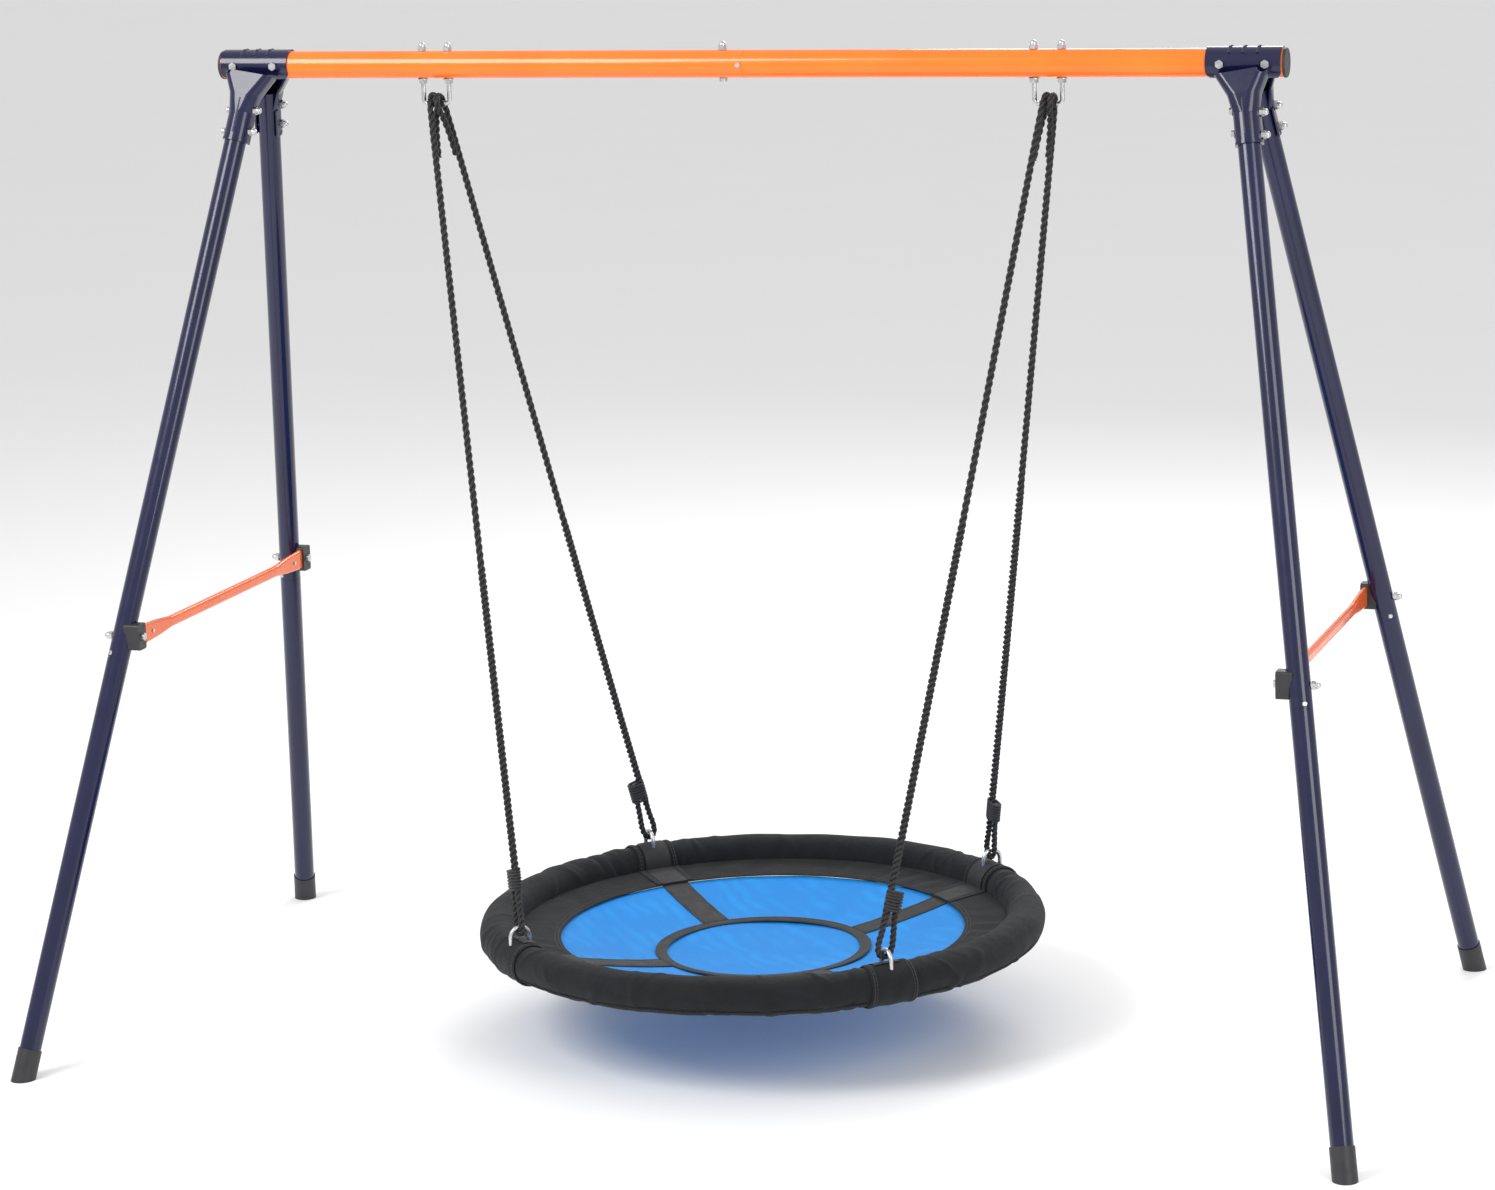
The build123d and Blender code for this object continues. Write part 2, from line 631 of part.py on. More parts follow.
def rim_face(*shapes):
    """Flat radial section through the rim, placed for revolving about Z."""
    plane = Plane(origin=(0, 0, SEAT_Z), x_dir=(1, 0, 0), z_dir=(0, -1, 0))
    return plane * Sketch(children=list(shapes)) if len(shapes) > 1 else plane * shapes[0]


def skirt_outline(low, high, start, stop):
    """Sloping strip between mat edge and rim; low and high offset its two faces."""
    def at(r, offset):
        return (r, SKIRT_Z + (r - FLANGE_R) * SKIRT_SLOPE + offset)
    return Polygon(at(start, low), at(stop, low), at(stop, high), at(start, high), align=None)


def rim_cover():
    """Fabric tube sewn round the padded rim."""
    body = torus_shell(COVER_R, COVER_R - COVER_T)
    for end, side in CORNERS:
        body -= ring_slot(SIDES[side], ENDS[end], 18, 50)
    return body


def rim_skirt():
    """Inner fabric band of the cover; it laps over the edge of the mat."""
    return revolve(rim_face(skirt_outline(0.0, SKIRT_T, FLANGE_R, SKIRT_OUT)), Axis.Z)


def rim_patch(side, end):
    """Wider strip of fabric wrapped over the cover and skirt at one rope ring."""
    inner = COVER_R + CLEAR
    outer = inner + PATCH_T
    ring = Pos(RIM_R, 0) * Circle(outer)
    lap = skirt_outline(SKIRT_T + CLEAR, SKIRT_T + CLEAR + PATCH_T, FLANGE_R + 3, RIM_R - 20)
    blank = ring + lap - Pos(RIM_R, 0) * Circle(inner)
    gap = skirt_outline(-CLEAR, SKIRT_T + CLEAR, FLANGE_R, RIM_R - 20)
    section = rim_face(blank - gap)
    body = revolve(section, Axis.Z, revolution_arc=PATCH_ANGLE)
    angle = degrees(atan2(end, side))
    body = Rotation(0, 0, angle - PATCH_ANGLE / 2) * body
    body -= ring_slot(side, end, 18, 50)
    return max(body.solids(), key=lambda s: s.volume)


DISH_R = (MAT_R ** 2 + MAT_SAG ** 2) / (2 * MAT_SAG)
DISH_Z = SEAT_Z + MAT_EDGE_Z - MAT_SAG + DISH_R


def dish_shell(above, thickness, reach, hole=0.0):
    """Piece of a shallow spherical dish, offset above the mat's upper face."""
    top = DISH_R - above - thickness
    body = Sphere(DISH_R - above) - Sphere(top)
    body = Location((0, 0, DISH_Z)) * body
    keep = Location((0, 0, SEAT_Z - 60)) * Cylinder(reach, 160)
    if hole:
        keep -= Location((0, 0, SEAT_Z - 60)) * Cylinder(hole, 200)
    return body & keep


def seat_mat():
    return dish_shell(-MAT_T, MAT_T, MAT_R)


def centre_ring():
    return dish_shell(CLEAR, TRIM_T, CENTRE_RING[1], CENTRE_RING[0])


def seat_strap(side, end):
    angle = degrees(atan2(end, side))
    start, stop = CENTRE_RING[1] + 0.4, MAT_R - 1.0
    band = dish_shell(CLEAR, TRIM_T, stop, start)
    slab = Rotation(0, 0, angle) * Location(((start + stop) / 2, 0, SEAT_Z - 40)) * Box(
        stop - start + 40, STRAP_W, 160)
    return band & slab


def seat_ring(side, end):
    """Oval steel ring round the hoop tube, standing up through the cover."""
    _, radial, tangent = ring_frame(side, end)
    centre = radial * RIM_R + Z_AXIS * SEAT_Z
    low = centre
    high = centre + Z_AXIS * RING_RISE
    edges = [
        Edge.make_three_point_arc(low + radial * RING_HALF, low - Z_AXIS * RING_HALF,
                                  low - radial * RING_HALF),
        Edge.make_line(low - radial * RING_HALF, high - radial * RING_HALF),
        Edge.make_three_point_arc(high - radial * RING_HALF, high + Z_AXIS * RING_HALF,
                                  high + radial * RING_HALF),
        Edge.make_line(high + radial * RING_HALF, low + radial * RING_HALF),
    ]
    wire = Wire(edges)
    section = Plane(origin=low + radial * RING_HALF, z_dir=-Z_AXIS) * Circle(RING_WIRE)
    return sweep(section, path=wire)


# ---- build everything ---------------------------------------------------------------
def main():
    os.makedirs("parts", exist_ok=True)
    save("beam_tube_left", beam_tube_left())
    save("beam_tube_right", beam_tube_right())
    reach = BEAM_R + 0.1
    save("beam_joint_bolt", bolt((JOINT_BOLT_X, 0, BEAM_Z - reach), (0, 0, 1), 2 * reach + 9))
    save("beam_joint_nut", acorn_nut((JOINT_BOLT_X, 0, BEAM_Z + reach), (0, 0, 1)))
    screw_x = SEAM_X - 6
    screw = rod((screw_x, -13, BEAM_Z), (screw_x, -BEAM_R - 0.1, BEAM_Z), 2.5)
    screw += rod((screw_x, -BEAM_R - 0.1, BEAM_Z), (screw_x, -BEAM_R - 1.9, BEAM_Z), 4.2)
    save("beam_joint_screw", screw)
    save("beam_end_caps", [beam_end_cap(side) for side in SIDES.values()])

    bracket_bolts, bracket_nuts, leg_bolts, leg_nuts = [], [], [], []
    for name, side in SIDES.items():
        front = front_bracket(side)
        save(f"head_bracket_front_{name}", front)
        save(f"head_bracket_rear_{name}", mirror(front, about=Plane.XZ))
        bolts, nuts = bracket_bolt_set(side)
        bracket_bolts += bolts
        bracket_nuts += nuts
        for end in ENDS.values():
            bolts, nuts = leg_bolt_set(side, end)
            leg_bolts += bolts
            leg_nuts += nuts
    save("bracket_bolts", bracket_bolts)
    save("bracket_nuts", bracket_nuts)
    save("leg_bolts", leg_bolts)
    save("leg_nuts", leg_nuts)

    for end, side in CORNERS:
        save(f"leg_upper_{end}_{side}", upper_leg(SIDES[side], ENDS[end]))
        save(f"leg_lower_{end}_{side}", lower_leg(SIDES[side], ENDS[end]))
    save("leg_joint_screws", [leg_joint_screw(SIDES[s], ENDS[e]) for e, s in CORNERS])
    save("foot_caps", [foot_cap(SIDES[s], ENDS[e]) for e, s in CORNERS])

    blocks, brace_bolts, brace_nuts, brace_screws = [], [], [], []
    for name, side in SIDES.items():
        save(f"brace_bar_{name}", brace_bar(side))
        for end in ENDS.values():
            blocks.append(brace_block(side, end))
            through, nut, screw = brace_fasteners(side, end)
            brace_bolts.append(through)
            brace_nuts.append(nut)
            brace_screws.append(screw)
    save("brace_blocks", blocks)
    save("brace_bolts", brace_bolts)
    save("brace_nuts", brace_nuts)
    save("brace_screws", brace_screws)

    caps, nuts, washers = [], [], []
    for name, side in SIDES.items():
        save(f"ubolt_{name}", ubolt(side))
        save(f"pivot_sleeve_{name}", pivot_sleeve(side))
        cap_pair, nut_pair, washer_pair = ubolt_hardware(side)
        caps += cap_pair
        nuts += nut_pair
        washers += washer_pair
    save("ubolt_cap_nuts", caps)
    save("ubolt_lower_nuts", nuts)
    save("ubolt_washers", washers)

    for end, side in CORNERS:
        body, length, ratio, radii = rope(SIDES[side], ENDS[end])
        save(f"rope_{end}_{side}", body)
        shown = ", ".join(f"{r:.1f}" for r in radii)
        print(f"  cord length {length:.0f} mm, volume over section x length {ratio:.4f}, "
              f"arc radii {shown}")
    for name, side in SIDES.items():
        save(f"rope_whippings_{name}", [whipping(side, end) for end in ENDS.values()])

    save("rim_hoop", torus_shell(HOOP_R, HOOP_R - HOOP_WALL))
    foam = torus_shell(FOAM_R, HOOP_R + CLEAR)
    for end, side in CORNERS:
        foam -= ring_slot(SIDES[side], ENDS[end], -RING_HALF - RING_WIRE - 1.5, 50)
    save("rim_foam", foam)
    save("rim_cover", rim_cover())
    save("rim_skirt", rim_skirt())
    save("rim_patches", [rim_patch(SIDES[s], ENDS[e]) for e, s in CORNERS])
    save("seat_mat", seat_mat())
    save("seat_centre_ring", centre_ring())
    save("seat_straps", [seat_strap(SIDES[s], ENDS[e]) for e, s in CORNERS])
    save("seat_rings", [seat_ring(SIDES[s], ENDS[e]) for e, s in CORNERS])


main()
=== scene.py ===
"""Looks of a saucer nest swing: finishes for the steel frame, twisted ropes and the fabric seat."""
import json
import math
import random

import bmesh
import bpy
import numpy as np
from mathutils import Matrix, Vector


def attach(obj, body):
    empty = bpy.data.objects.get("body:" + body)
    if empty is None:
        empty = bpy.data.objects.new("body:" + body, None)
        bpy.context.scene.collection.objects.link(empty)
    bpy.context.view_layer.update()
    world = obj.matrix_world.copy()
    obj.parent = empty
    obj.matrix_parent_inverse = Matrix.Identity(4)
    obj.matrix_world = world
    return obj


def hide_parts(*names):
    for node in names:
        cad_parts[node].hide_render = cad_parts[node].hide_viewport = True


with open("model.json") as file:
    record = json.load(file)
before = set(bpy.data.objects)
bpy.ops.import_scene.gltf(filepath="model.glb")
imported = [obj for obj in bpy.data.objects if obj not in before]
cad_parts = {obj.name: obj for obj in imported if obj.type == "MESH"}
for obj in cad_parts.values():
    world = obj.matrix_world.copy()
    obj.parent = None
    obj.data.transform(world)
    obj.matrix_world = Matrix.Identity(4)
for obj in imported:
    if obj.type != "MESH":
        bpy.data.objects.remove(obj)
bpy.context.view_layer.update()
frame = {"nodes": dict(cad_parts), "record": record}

PI = math.pi
X_AXIS = Vector((1, 0, 0))
Y_AXIS = Vector((0, 1, 0))
Z_AXIS = Vector((0, 0, 1))
SIDES = {"left": -1, "right": 1}
ENDS = {"front": -1, "rear": 1}

# ---- sizes shared with the CAD parts, in metres ---------------------------------------
HANGER_X = 0.55
UBOLT_BAR_Z = 1.632
SLEEVE_R = 0.008
SLEEVE_BORE = 0.0042
SLEEVE_LEN = 0.029
ROPE_R = 0.006
ROPE_OFFSET = 0.0067
EYE_R = SLEEVE_R + ROPE_R + 0.0016
EYE_SPLAY = math.radians(25)
TAIL_LEN = 0.046
TAIL_GAP = 2 * ROPE_R + 0.0004
LOOP_H = 0.060
WHIP_LEN = 0.042
RING_WIRE = 0.004
RING_HALF = 0.017
RING_RISE = 0.042
SNUG_PLAY = 0.001          # play of the left rope loops on their rings
OPEN_PLAY = 0.0025         # play of the right loops, where the linkage is opened
OPEN_BIAS = 0.0026         # how far inward the right loops start
SEAT_Z = 0.190
RIM_R = 0.466
COVER_R = 0.034
MAT_R = 0.362
MAT_SAG = 0.0432
MAT_EDGE_Z = SEAT_Z - 0.0188
MAT_T = 0.0025
TRIM_T = 0.0016
FLANGE_R = 0.357
SKIRT_OUT = 0.4322
SKIRT_Z = SEAT_Z - 0.017
SKIRT_SLOPE = 0.13
SKIRT_T = 0.002
STRAP_W = 0.050
CENTRE_RING = (0.171, 0.191)
CLEAR = 0.0003             # gap between layers of cloth
# sphere of the dished mat, and the height of its centre
DISH_R = (MAT_R ** 2 + MAT_SAG ** 2) / (2 * MAT_SAG)
DISH_Z = MAT_EDGE_Z - MAT_SAG + DISH_R


# ---- materials ------------------------------------------------------------------------
WAVE_SCALE = PI / 10       # gives a wave texture bands one unit wide across X or Y


class Finish:
    """A procedural material, built node by node around one Principled shader."""

    def __init__(self, name, space="Object"):
        self.material = bpy.data.materials.new(name)
        self.material.use_nodes = True
        self.tree = self.material.node_tree
        self.shader = self.tree.nodes["Principled BSDF"]
        self.place = self.add("ShaderNodeTexCoord").outputs[space]

    def add(self, kind, **inputs):
        node = self.tree.nodes.new(kind)
        for key, value in inputs.items():
            node.inputs[key.replace("_", " ")].default_value = value
        return node

    def link(self, source, target):
        self.tree.links.new(source, target)

    def set(self, **values):
        for key, value in values.items():
            self.shader.inputs[key.replace("_", " ")].default_value = value

    def stretch(self, scale):
        """Coordinates scaled on each axis, in periods per metre."""
        mapping = self.add("ShaderNodeMapping", Scale=scale)
        self.link(self.place, mapping.inputs["Vector"])
        return mapping.outputs["Vector"]

    def noise(self, scale, detail=3.0, vector=None):
        node = self.add("ShaderNodeTexNoise", Scale=scale, Detail=detail)
        self.link(vector or self.place, node.inputs["Vector"])
        return node.outputs["Fac"]

    def waves(self, vector, axis, distortion=0.0):
        """Sine bands, 0 to 1: across X or Y there is one band to each unit of the vector."""
        node = self.add("ShaderNodeTexWave", Scale=WAVE_SCALE, Distortion=distortion)
        node.bands_direction = axis
        self.link(vector, node.inputs["Vector"])
        return node.outputs["Fac"]

    def spread(self, source, low, high, to_low, to_high):
        node = self.add("ShaderNodeMapRange")
        for key, value in zip(("From Min", "From Max", "To Min", "To Max"),
                              (low, high, to_low, to_high)):
            node.inputs[key].default_value = value
        self.link(source, node.inputs["Value"])
        return node.outputs["Result"]

    def maths(self, kind, first, second):
        node = self.add("ShaderNodeMath")
        node.operation = kind
        self.link(first, node.inputs[0])
        self.link(second, node.inputs[1])
        return node.outputs["Value"]

    def blend_colours(self, factor, first, second):
        node = self.add("ShaderNodeMix")
        node.data_type = "RGBA"
        self.link(factor, node.inputs["Factor"])
        for socket, colour in zip([s for s in node.inputs if s.type == "RGBA"], (first, second)):
            if isinstance(colour, tuple):
                socket.default_value = (*colour, 1.0)
            else:
                self.link(colour, socket)
        return [s for s in node.outputs if s.type == "RGBA"][0]

    def colour(self, source):
        self.link(source, self.shader.inputs["Base Color"])

    def rough(self, source):
        self.link(source, self.shader.inputs["Roughness"])

    def bump(self, height, distance):
        """Adds relief on top of any relief the material already has."""
        node = self.add("ShaderNodeBump", Strength=1.0, Distance=distance)
        if self.shader.inputs["Normal"].is_linked:
            self.link(self.shader.inputs["Normal"].links[0].from_socket, node.inputs["Normal"])
        self.link(height, node.inputs["Height"])
        self.link(node.outputs["Normal"], self.shader.inputs["Normal"])


def gloss_paint(name, light, dark, scuff):
    """Powder coat: faint orange peel, soft tone variation and sparse rubbed specks."""
    f = Finish(name)
    tone = f.blend_colours(f.spread(f.noise(9.0), 0.3, 0.7, 0.0, 1.0), light, dark)
    specks = f.spread(f.noise(300.0, 6.0), 0.74, 0.80, 0.0, 0.45)
    f.colour(f.blend_colours(specks, tone, scuff))
    f.rough(f.spread(f.noise(35.0, 5.0), 0.3, 0.7, 0.16, 0.26))
    f.bump(f.noise(420.0, 2.0), 0.00003)
    f.set(Coat_Weight=0.4, Coat_Roughness=0.05, IOR=1.5, Specular_IOR_Level=0.3)
    return f.material


def plated_steel(name, light, dark, smooth=0.22):
    """Zinc plate with a faint spangle and handling marks."""
    f = Finish(name)
    cells = f.add("ShaderNodeTexVoronoi", Scale=260.0)
    f.link(f.place, cells.inputs["Vector"])
    grain = f.spread(cells.outputs["Distance"], 0.0, 0.6, 0.0, 1.0)
    f.colour(f.blend_colours(grain, light, dark))
    f.rough(f.spread(f.noise(90.0, 6.0), 0.3, 0.7, smooth, smooth + 0.22))
    f.bump(f.noise(900.0, 3.0), 0.00008)
    f.set(Metallic=1.0)
    return f.material


def moulded_plastic(name, light, dark):
    """Moulded plastic with a fine spark-eroded texture."""
    f = Finish(name)
    f.colour(f.blend_colours(f.noise(60.0), dark, light))
    f.rough(f.spread(f.noise(140.0, 4.0), 0.3, 0.7, 0.38, 0.56))
    f.bump(f.noise(1500.0, 2.0), 0.00010)
    f.set(IOR=1.48)
    return f.material


def rope_fibre(name, light, dark):
    """Polypropylene multifilament: fine fibres along each strand, with a dull sheen."""
    f = Finish(name, "UV")
    fibres = f.noise(1.0, 4.0, f.stretch((2600.0, 160.0, 1.0)))
    f.colour(f.blend_colours(f.spread(fibres, 0.35, 0.75, 0.0, 1.0), dark, light))
    f.rough(f.spread(fibres, 0.2, 0.8, 0.48, 0.72))
    f.bump(fibres, 0.0005)
    f.set(Sheen_Weight=0.08, Sheen_Roughness=0.5)
    return f.material


def woven_cloth(name, light, dark, pitch, sheen, relief):
    """Plain weave seen up close: raised warp and weft yarns with painted shade between them, mottled dye
    and a soft sheen.
    """
    f = Finish(name, "UV")
    across = f.stretch((1 / pitch, 1 / pitch, 1.0))
    warp = f.waves(across, "X", distortion=0.15)
    weft = f.waves(across, "Y", distortion=0.15)
    yarns = f.maths("MULTIPLY", warp, weft)
    # painted shade: the colour darkens between the raised yarns, on top of the dye's real mottled tone
    dye_and_weave_shade = f.maths("MULTIPLY", f.spread(f.noise(22.0, 6.0), 0.3, 0.7, 0.35, 1.0), yarns)
    f.colour(f.blend_colours(f.spread(dye_and_weave_shade, 0.0, 0.8, 0.0, 1.0), dark, light))
    f.rough(f.spread(yarns, 0.0, 1.0, 0.86, 0.62))
    f.bump(f.noise(38.0, 4.0), 0.0035)
    f.bump(yarns, relief)
    f.set(Sheen_Weight=sheen, Sheen_Roughness=0.45, Specular_IOR_Level=0.25)
    return f.material


def open_mesh(name, light, dark, pitch):
    """Coated mesh cloth: glossy yarns over gaps darkened with painted shade, with wavy moiré bands of
    painted shade.
    """
    f = Finish(name, "UV")
    across = f.stretch((1 / pitch, 1 / pitch, 1.0))
    # painted shade: the gaps between the yarns are darkened to stand for the shade seen through the open
    # mesh
    gaps = f.maths("MULTIPLY", f.waves(across, "X"), f.waves(across, "Y"))
    wide = 9.3 * pitch
    # painted moiré: wavy lighter and darker bands of painted shade across the mesh
    bands = f.waves(f.stretch((1 / wide, 1 / wide, 1.0)), "DIAGONAL", distortion=6.0)
    patches = f.maths("MULTIPLY", bands, f.spread(f.noise(11.0, 3.0), 0.42, 0.62, 0.0, 1.0))
    depth = f.maths("ADD", f.spread(gaps, 0.05, 0.6, 0.0, 0.72), f.spread(patches, 0.0, 1.0, 0.0, 0.28))
    f.colour(f.blend_colours(depth, dark, light))
    f.rough(f.spread(gaps, 0.0, 1.0, 0.62, 0.36))
    f.bump(gaps, 0.0006)
    f.set(Sheen_Weight=0.03, IOR=1.47, Specular_IOR_Level=0.25)
    return f.material


def webbing(name, light, dark):
    """Flat ribbed polyester webbing, with painted shade in the grooves between its ribs."""
    f = Finish(name, "UV")
    across = f.stretch((1 / 0.0021, 1 / 0.0013, 1.0))
    ribs = f.waves(across, "Y", distortion=0.3)
    rows = f.waves(across, "X")
    weave = f.maths("MULTIPLY", ribs, f.spread(rows, 0.0, 1.0, 0.6, 1.0))
    # painted shade: the colour darkens in the grooves between the ribs and between the rows
    f.colour(f.blend_colours(weave, dark, light))
    f.rough(f.spread(f.noise(30.0), 0.3, 0.7, 0.58, 0.78))
    f.bump(weave, 0.0004)
    f.set(Sheen_Weight=0.06)
    return f.material


FINISHES = {
    "beam_orange": gloss_paint("beam_orange", (1.0, 0.195, 0.016), (0.95, 0.165, 0.011),
                               (1.0, 0.42, 0.16)),
    "brace_orange": gloss_paint("brace_orange", (0.84, 0.135, 0.010), (0.76, 0.110, 0.008),
                                (0.95, 0.30, 0.12)),
    "navy": gloss_paint("navy", (0.0085, 0.0090, 0.048), (0.0055, 0.0060, 0.034),
                        (0.06, 0.065, 0.13)),
    "zinc": plated_steel("zinc", (0.72, 0.72, 0.73), (0.55, 0.55, 0.57)),
    "hoop_steel": plated_steel("hoop_steel", (0.50, 0.50, 0.52), (0.38, 0.38, 0.40), 0.35),
    "black_plastic": moulded_plastic("black_plastic", (0.030, 0.030, 0.033), (0.014, 0.014, 0.016)),
    "black_rope": rope_fibre("black_rope", (0.026, 0.026, 0.029), (0.0035, 0.0035, 0.0042)),
    "foam": moulded_plastic("foam", (0.10, 0.10, 0.11), (0.06, 0.06, 0.07)),
    "charcoal_fabric": woven_cloth("charcoal_fabric", (0.0270, 0.0300, 0.0370), (0.0035, 0.0040, 0.0055),
                                   0.0011, 0.06, 0.0004),
    "blue_mesh": open_mesh("blue_mesh", (0.006, 0.370, 0.900), (0.002, 0.190, 0.620), 0.0023),
    "black_webbing": webbing("black_webbing", (0.015, 0.016, 0.019), (0.003, 0.003, 0.004)),
}
THREAD = rope_fibre("thread", (0.085, 0.088, 0.095), (0.020, 0.021, 0.024))


def paint_cad_nodes():
    """Gives every CAD node the finish of its material slot."""
    slots = {row["node"]: row["material_slot"] for row in frame["record"]["subparts"]}
    for name, obj in frame["nodes"].items():
        obj.data.materials.clear()
        obj.data.materials.append(FINISHES[slots[name]])


# ---- mesh helpers -----------------------------------------------------------------------
WELD = 1e-6                # points nearer than this are one point


def piece(name, points, faces, uvs, material, body, crease):
    """A smooth mesh piece; uvs holds one (u, v) in metres for each corner of each face."""
    mesh = bpy.data.meshes.new(name)
    mesh.from_pydata([tuple(p) for p in points], [], faces)
    layer = mesh.uv_layers.new(name="UVMap")
    layer.data.foreach_set("uv", np.asarray(uvs, dtype=np.float32).ravel())
    mesh.materials.append(material)
    weld(mesh)
    mesh.shade_smooth()
    obj = bpy.data.objects.new(name, mesh)
    bpy.context.scene.collection.objects.link(obj)
    mesh.set_sharp_from_angle(angle=math.radians(crease))
    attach(obj, body)
    return obj


def weld(mesh):
    """Joins the closing faces to their neighbours and turns every face outward."""
    work = bmesh.new()
    work.from_mesh(mesh)
    bmesh.ops.remove_doubles(work, verts=work.verts, dist=WELD)
    bmesh.ops.recalc_face_normals(work, faces=work.faces)
    work.to_mesh(mesh)
    work.free()


class Surface:
    """Collects grids of points, wrapped or open each way, into one mesh."""

    def __init__(self):
        self.points = []
        self.faces = []
        self.uvs = []

    def grid(self, rows, u, v, wrap_rows=False, wrap_columns=False, flip=False):
        """rows[i][j] is a point; u[j] and v[i] are metres along the two ways, one extra to wrap."""
        base = len(self.points)
        count, width = len(rows), len(rows[0])
        for row in rows:
            self.points.extend(row)
        for i in range(count if wrap_rows else count - 1):
            for j in range(width if wrap_columns else width - 1):
                k, m = (i + 1) % count, (j + 1) % width
                face = [base + i * width + j, base + i * width + m,
                        base + k * width + m, base + k * width + j]
                corner = [(u[j], v[i]), (u[j + 1], v[i]), (u[j + 1], v[i + 1]), (u[j], v[i + 1])]
                if flip:
                    face.reverse()
                    corner.reverse()
                self.faces.append(face)
                self.uvs.extend(corner)

    def fan(self, ring, centre, flip=False):
        """Closes a ring of points with triangles round its centre."""
        base = len(self.points)
        self.points.extend(ring)
        self.points.append(centre)
        for j in range(len(ring)):
            face = [base + j, base + (j + 1) % len(ring), base + len(ring)]
            if flip:
                face.reverse()
            self.faces.append(face)
            self.uvs.extend([(0.0, 0.0), (0.001, 0.0), (0.0005, 0.001)])

    def made(self, name, body, slot, material=None, crease=35):
        """One piece of all the grids, in its slot's own finish unless another is given."""
        return piece(name, self.points, self.faces, self.uvs, material or FINISHES[slot], body,
                     crease)


def steps(low, high, count):
    """Evenly spaced values from low to high, with count gaps between them."""
    return [low + (high - low) * i / count for i in range(count + 1)]


def frames_along(path, closed=False):
    """Tangent, side and up vectors along a path, turned as little as possible."""
    count = len(path)
    ways = []
    for i in range(count):
        if closed:
            way = path[(i + 1) % count] - path[i - 1]
        else:
            way = path[min(i + 1, count - 1)] - path[max(i - 1, 0)]
        ways.append(way.normalized())
    side = ways[0].orthogonal().normalized()
    out = []
    for way in ways:
        side = (side - way * side.dot(way)).normalized()
        out.append((way, side, way.cross(side)))
    return out


def tube_along(surface, path, radius, around, flat=1.0, axes=None, sizes=None):
    """A round or flattened tube along a path, closed at both ends; sizes scale it at each point."""
    axes = axes or frames_along(path)
    sizes = sizes or [1.0] * len(path)
    rows = []
    v = [0.0]
    for i, (centre, (_, side, up), size) in enumerate(zip(path, axes, sizes)):
        wide = side * (radius * size)
        high = up * (radius * size * flat)
        rows.append([centre + wide * math.cos(2 * PI * j / around) + high * math.sin(2 * PI * j / around)
                     for j in range(around)])
        if i:
            v.append(v[-1] + (centre - path[i - 1]).length)
    surface.grid(rows, steps(0.0, 2 * PI * radius, around), v, wrap_columns=True)
    surface.fan(rows[0], path[0], flip=True)
    surface.fan(rows[-1], path[-1])


# ---- ropes -----------------------------------------------------------------------------
STRAND_R = 0.464 * ROPE_R
STRAND_OFFSET = 0.536 * ROPE_R
LAY_LENGTH = 0.040         # one full turn of the three strands
ROPE_STEP = 0.0042
UPPER_SWELL = 1.08
LOWER_SWELL = 1.26         # the lower half of each rope is laid looser and thicker
LOWER_LAY = 0.030
LOOP_EASE = 1.25           # keeps the smooth line outside the ring at the lower loop
HOOK_RUN = 0.072           # straight run guided this far from the hanger
TAIL_EXTRA = 0.006         # the eye's cut end runs this far past TAIL_LEN, as in the CAD rope
END_INSET = 0.004          # the loop's cut end stops this far short of WHIP_LEN, as in the CAD rope
CATCH, BACK = 5, 8         # places of the loop's two upper ends in the points of rope_route
BINDING_GAP = 0.0015       # the binding starts this far above those two ends
SLIM_END = (0.17, 0.21)    # the swell fades between these distances from either end
LAY_CHANGE = {"left": 0.56, "right": 0.50}  # share of the length where the looser lay starts
LAY_BLEND = 0.01
STRAND_AROUND = 9
TWINE_R = 0.0026           # twine of the bindings above the lower loops
TWINE_TURNS = 7
TURN_STEPS = 40            # points on each turn of that twine
# Radius at the roll's grooves, slimmer than the CAD sleeve: the rope eyes clear it at rest and cut
# into it by less than a millimetre at full sway.
ROLL_R = SLEEVE_R - 0.0026
ROLL_RELIEF = 0.0009       # the roll's twine stands this far out of its grooves
ROLL_PITCH = 0.0041        # run of one turn of the roll's twine


def ring_frame(side, end):
    radial = Vector((side, end, 0)).normalized()
    bar = radial * RIM_R + Z_AXIS * (SEAT_Z + RING_RISE + RING_HALF)
    return bar, Vector((-end, side, 0)).normalized()


